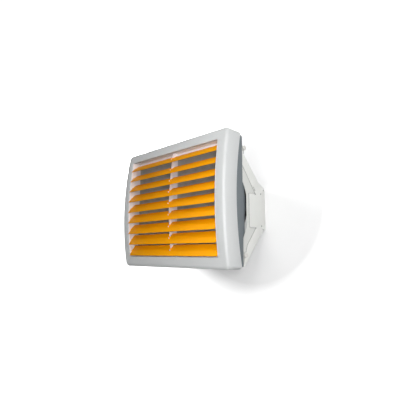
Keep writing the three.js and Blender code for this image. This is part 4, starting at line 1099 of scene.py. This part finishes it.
def build_cheek():
    edge = [(ARM_FRONT + TAIL_WIDTH, TAIL_END), (WALL_PLANE - 115, -KNOB_HEIGHT - 5),
        (WALL_PLANE - 24, BASE_BOTTOM - 13), (WALL_PLANE, BASE_BOTTOM), (WALL_PLANE, BASE_TOP),
        (WALL_PLANE - 8, BASE_TOP + 9), (WALL_PLANE - 45, BASE_TOP + 27),
        (ARM_FRONT + 15, KNOB_HEIGHT - 17)] + arm_end()
    sheet = plate("console_cheek", edge + [(ARM_FRONT, KNOB_HEIGHT - 108), (BASE_FRONT, CREASE_TOP),
        (BASE_FRONT, CREASE_BOTTOM), (BASE_FRONT - 5, CREASE_BOTTOM - 7), (BASE_FRONT - 24, CREASE_BOTTOM - 47),
        (ARM_FRONT, -KNOB_HEIGHT + ARM_RADIUS), (ARM_FRONT, TAIL_END + 12), (ARM_FRONT + 6, TAIL_END)],
        CHEEK_INNER, CHEEK_INNER + CHEEK_SHEET)
    strip = plate("strip", edge + [(ARM_FRONT, KNOB_HEIGHT - 55), (CREASE_UPPER, CREASE_TOP),
        (STRIP_FRONT, CREASE_TOP), (STRIP_FRONT, CREASE_BOTTOM), (CREASE_LOWER, CREASE_BOTTOM),
        (BASE_FRONT, -KNOB_HEIGHT + 39), (ARM_FRONT + TAIL_WIDTH / 2, TAIL_END)], CHEEK_INNER + 1, CHEEK_OUTER)
    pad = rod("pad", ARM_RADIUS, (CHEEK_INNER + 1, KNOB_DEPTH, -KNOB_HEIGHT),
        (CHEEK_OUTER - CHEEK_INNER - 1, 0, 0))
    flange = block("flange", (FLANGE_INNER, CHEEK_INNER + 1), (WALL_PLANE - FLANGE_SHEET, WALL_PLANE),
        (BASE_BOTTOM, BASE_TOP))
    combine(sheet, [strip, pad, flange], "UNION")
    through, reach = (CHEEK_INNER - 1, CHEEK_OUTER + 2), (8, 0, 0)
    cuts = [block("slit", through, (CREASE_UPPER - 25, CREASE_UPPER), (CREASE_TOP, CREASE_TOP + SLIT_WIDTH)),
        block("slit", through, (CREASE_LOWER - 39, CREASE_LOWER), (CREASE_BOTTOM - SLIT_WIDTH, CREASE_BOTTOM)),
        plate("slit", BEND_SLIT, *through)]
    cuts += [rod("hole", STUD_HOLE, (through[0], KNOB_DEPTH, z), reach) for z in (KNOB_HEIGHT, -KNOB_HEIGHT)]
    cuts += [rod("hole", 3, (through[0], WALL_PLANE - inset, z), reach, 24) for inset, z in CHEEK_HOLES]
    cuts += [rod("hole", 4.3, (WALL_SCREW_X, WALL_PLANE - 5, z), (0, 8, 0), 24) for z in WALL_SCREW_HEIGHTS]
    combine(sheet, cuts)
    soften(sheet, 0.5, 3)
    return sheet


def powder_coat(name, base_hex):
    """Powder coated steel: fine orange peel, greyer on the set back sheet, painted shade in the creases, slits
    and holes.
    """
    material, tree, place = patterned_material(name)
    peel = add_node(tree, "TexNoise", {"Scale": 1 / (1.6 * MM), "Detail": 1.5}, {"Vector": place})
    cloud = add_node(tree, "TexNoise", {"Scale": 1 / (90 * MM), "Detail": 2.0}, {"Vector": place})
    tone = add_node(tree, "MapRange", {"To Min": 0.975, "To Max": 1.025}, {"Value": cloud})
    # Painted shade: ambient occlusion darkens the coat in creases, slits and holes, down to a tenth of its
    # colour.
    crease = add_node(tree, "AmbientOcclusion",
        {"only_local": True, "samples": 8, "Distance": CREASE_SHADE_REACH})
    dust_and_painted_shade = add_node(tree, "MapRange", {"From Min": 0.4, "From Max": 0.9, "To Min": 0.1, "To Max": 1.0},
        {"Value": crease.outputs["AO"]})
    axes = add_node(tree, "SeparateXYZ", links={0: place})
    side = add_node(tree, "Math", {"operation": "ABSOLUTE"}, {0: axes.outputs["X"]})
    coat = add_node(tree, "MapRange", {"From Min": (CHEEK_INNER + CHEEK_SHEET + 0.3) * MM,
        "From Max": (CHEEK_OUTER - 0.3) * MM, "To Min": SET_BACK_TONE, "To Max": 1.0}, {"Value": side})
    for shade in (dust_and_painted_shade, coat):
        tone = add_node(tree, "Math", {"operation": "MULTIPLY"}, {0: tone, 1: shade})
    base = add_node(tree, "Mix", {"data_type": "RGBA", "blend_type": "MULTIPLY", 0: 1.0, 6: linear(base_hex)},
        {7: tone})
    bump = add_node(tree, "Bump", {"Strength": 0.25, "Distance": 0.04 * MM}, {"Height": peel})
    shader = add_node(tree, "BsdfPrincipled", {"Roughness": 0.42, "IOR": 1.5},
        {"Base Color": base.outputs[2], "Normal": bump})
    return surfaced(material, shader)


white_coat = powder_coat("powder coat, white", "#E6E7E3")
for side, word in SIDES:
    cheek = build_cheek()
    if side < 0:
        mirror(cheek)
    place_piece(cheek, white_coat, f"console_cheek_{word}")


# ---- Knobs, bushes and wall screws ----------------------------------------------------------
# White fluted clamp knobs screw through the cheeks into brass bushes in the rear shell.
# Hexagon head screws with washers hold the flanges to the wall.

KNOB_RADIUS = 10
KNOB_START = 281.3
KNOB_END = 295.3
KNOB_FLUTES = 8
KNOB_FLUTE_DEPTH = 0.8
KNOB_CROWN = 3
STUD_RADIUS = 3
STUD_START = 264
BUSH_START = 264
BUSH_FLANGE_START = 274.3
BUSH_END = 276.7
BUSH_FLANGE = 11
SCREW_HEAD = 7
SCREW_SEAT = 281.7
SCREW_HEAD_HEIGHT = 5
SCREW_RADIUS = 4


def build_knob(z, sides=96):
    """A fluted grip with a crowned end, on a threaded stud."""
    levels = [(KNOB_START, -0.6), (KNOB_START + 0.6, 0)]
    levels += [(KNOB_END - KNOB_CROWN + KNOB_CROWN * sin(a), -KNOB_CROWN * (1 - cos(a)))
        for a in (radians(15 * i) for i in range(7))]
    vertices = []
    for x, inset in levels:
        for k in range(sides):
            a = 2 * pi * k / sides
            radius = KNOB_RADIUS + inset - KNOB_FLUTE_DEPTH * (1 - cos(KNOB_FLUTES * a)) / 2
            vertices.append((x, KNOB_DEPTH + radius * cos(a), z + radius * sin(a)))
    knob = object_from("clamp_knob", vertices, tube_faces(len(levels), sides), 40)
    reach = (KNOB_START - STUD_START + 2, 0, 0)
    combine(knob, [rod("stud", STUD_RADIUS, (STUD_START, KNOB_DEPTH, z), reach, 32)], "UNION", 40)
    return knob


def build_bush(z):
    return turned("threaded_bush", [(3.3, BUSH_START), (BUSH_RADIUS - 0.5, BUSH_START),
        (BUSH_RADIUS, BUSH_START + 0.5), (BUSH_RADIUS, BUSH_FLANGE_START), (BUSH_FLANGE - 0.4, BUSH_FLANGE_START),
        (BUSH_FLANGE, BUSH_FLANGE_START + 0.4), (BUSH_FLANGE, BUSH_END - 0.4), (BUSH_FLANGE - 0.4, BUSH_END),
        (3.3, BUSH_END)], (0, KNOB_DEPTH, z), (1, 0, 0), 48)


def build_wall_screw(side, z):
    place = (side * WALL_SCREW_X, 0, z)
    top = SCREW_SEAT - SCREW_HEAD_HEIGHT
    head = turned("wall_screw", [(0, top), (SCREW_HEAD - 0.7, top), (SCREW_HEAD, top + 0.5),
        (SCREW_HEAD, SCREW_SEAT - 1.2), (0, SCREW_SEAT - 1.2)], place, (0, 1, 0), 6)
    washer = rod("washer", SCREW_HEAD, (place[0], SCREW_SEAT - 1.4, z), (0, 1.4, 0), 48)
    reach = (0, WALL_PLANE - 0.3 - SCREW_SEAT + 2, 0)
    shank = rod("shank", SCREW_RADIUS, (place[0], SCREW_SEAT - 2, z), reach, 32)
    combine(head, [washer, shank], "UNION")
    return head


white_nylon = moulded_plastic("moulded nylon, white", "#DAD9D4", 0.45)
for side, side_word in SIDES:
    for end, end_word in ((1, "upper"), (-1, "lower")):
        where = f"{side_word}_{end_word}"
        knob, bush = build_knob(end * KNOB_HEIGHT), build_bush(end * KNOB_HEIGHT)
        screw = build_wall_screw(side, WALL_SCREW_HEIGHTS[0 if end > 0 else 1])
        if side < 0:
            mirror(knob)
            mirror(bush)
        place_piece(knob, white_nylon, f"clamp_knob_{where}", f"knob_{where}")
        place_piece(bush, brass, f"threaded_bush_{where}")
        place_piece(screw, zinc_steel, f"wall_screw_{where}")
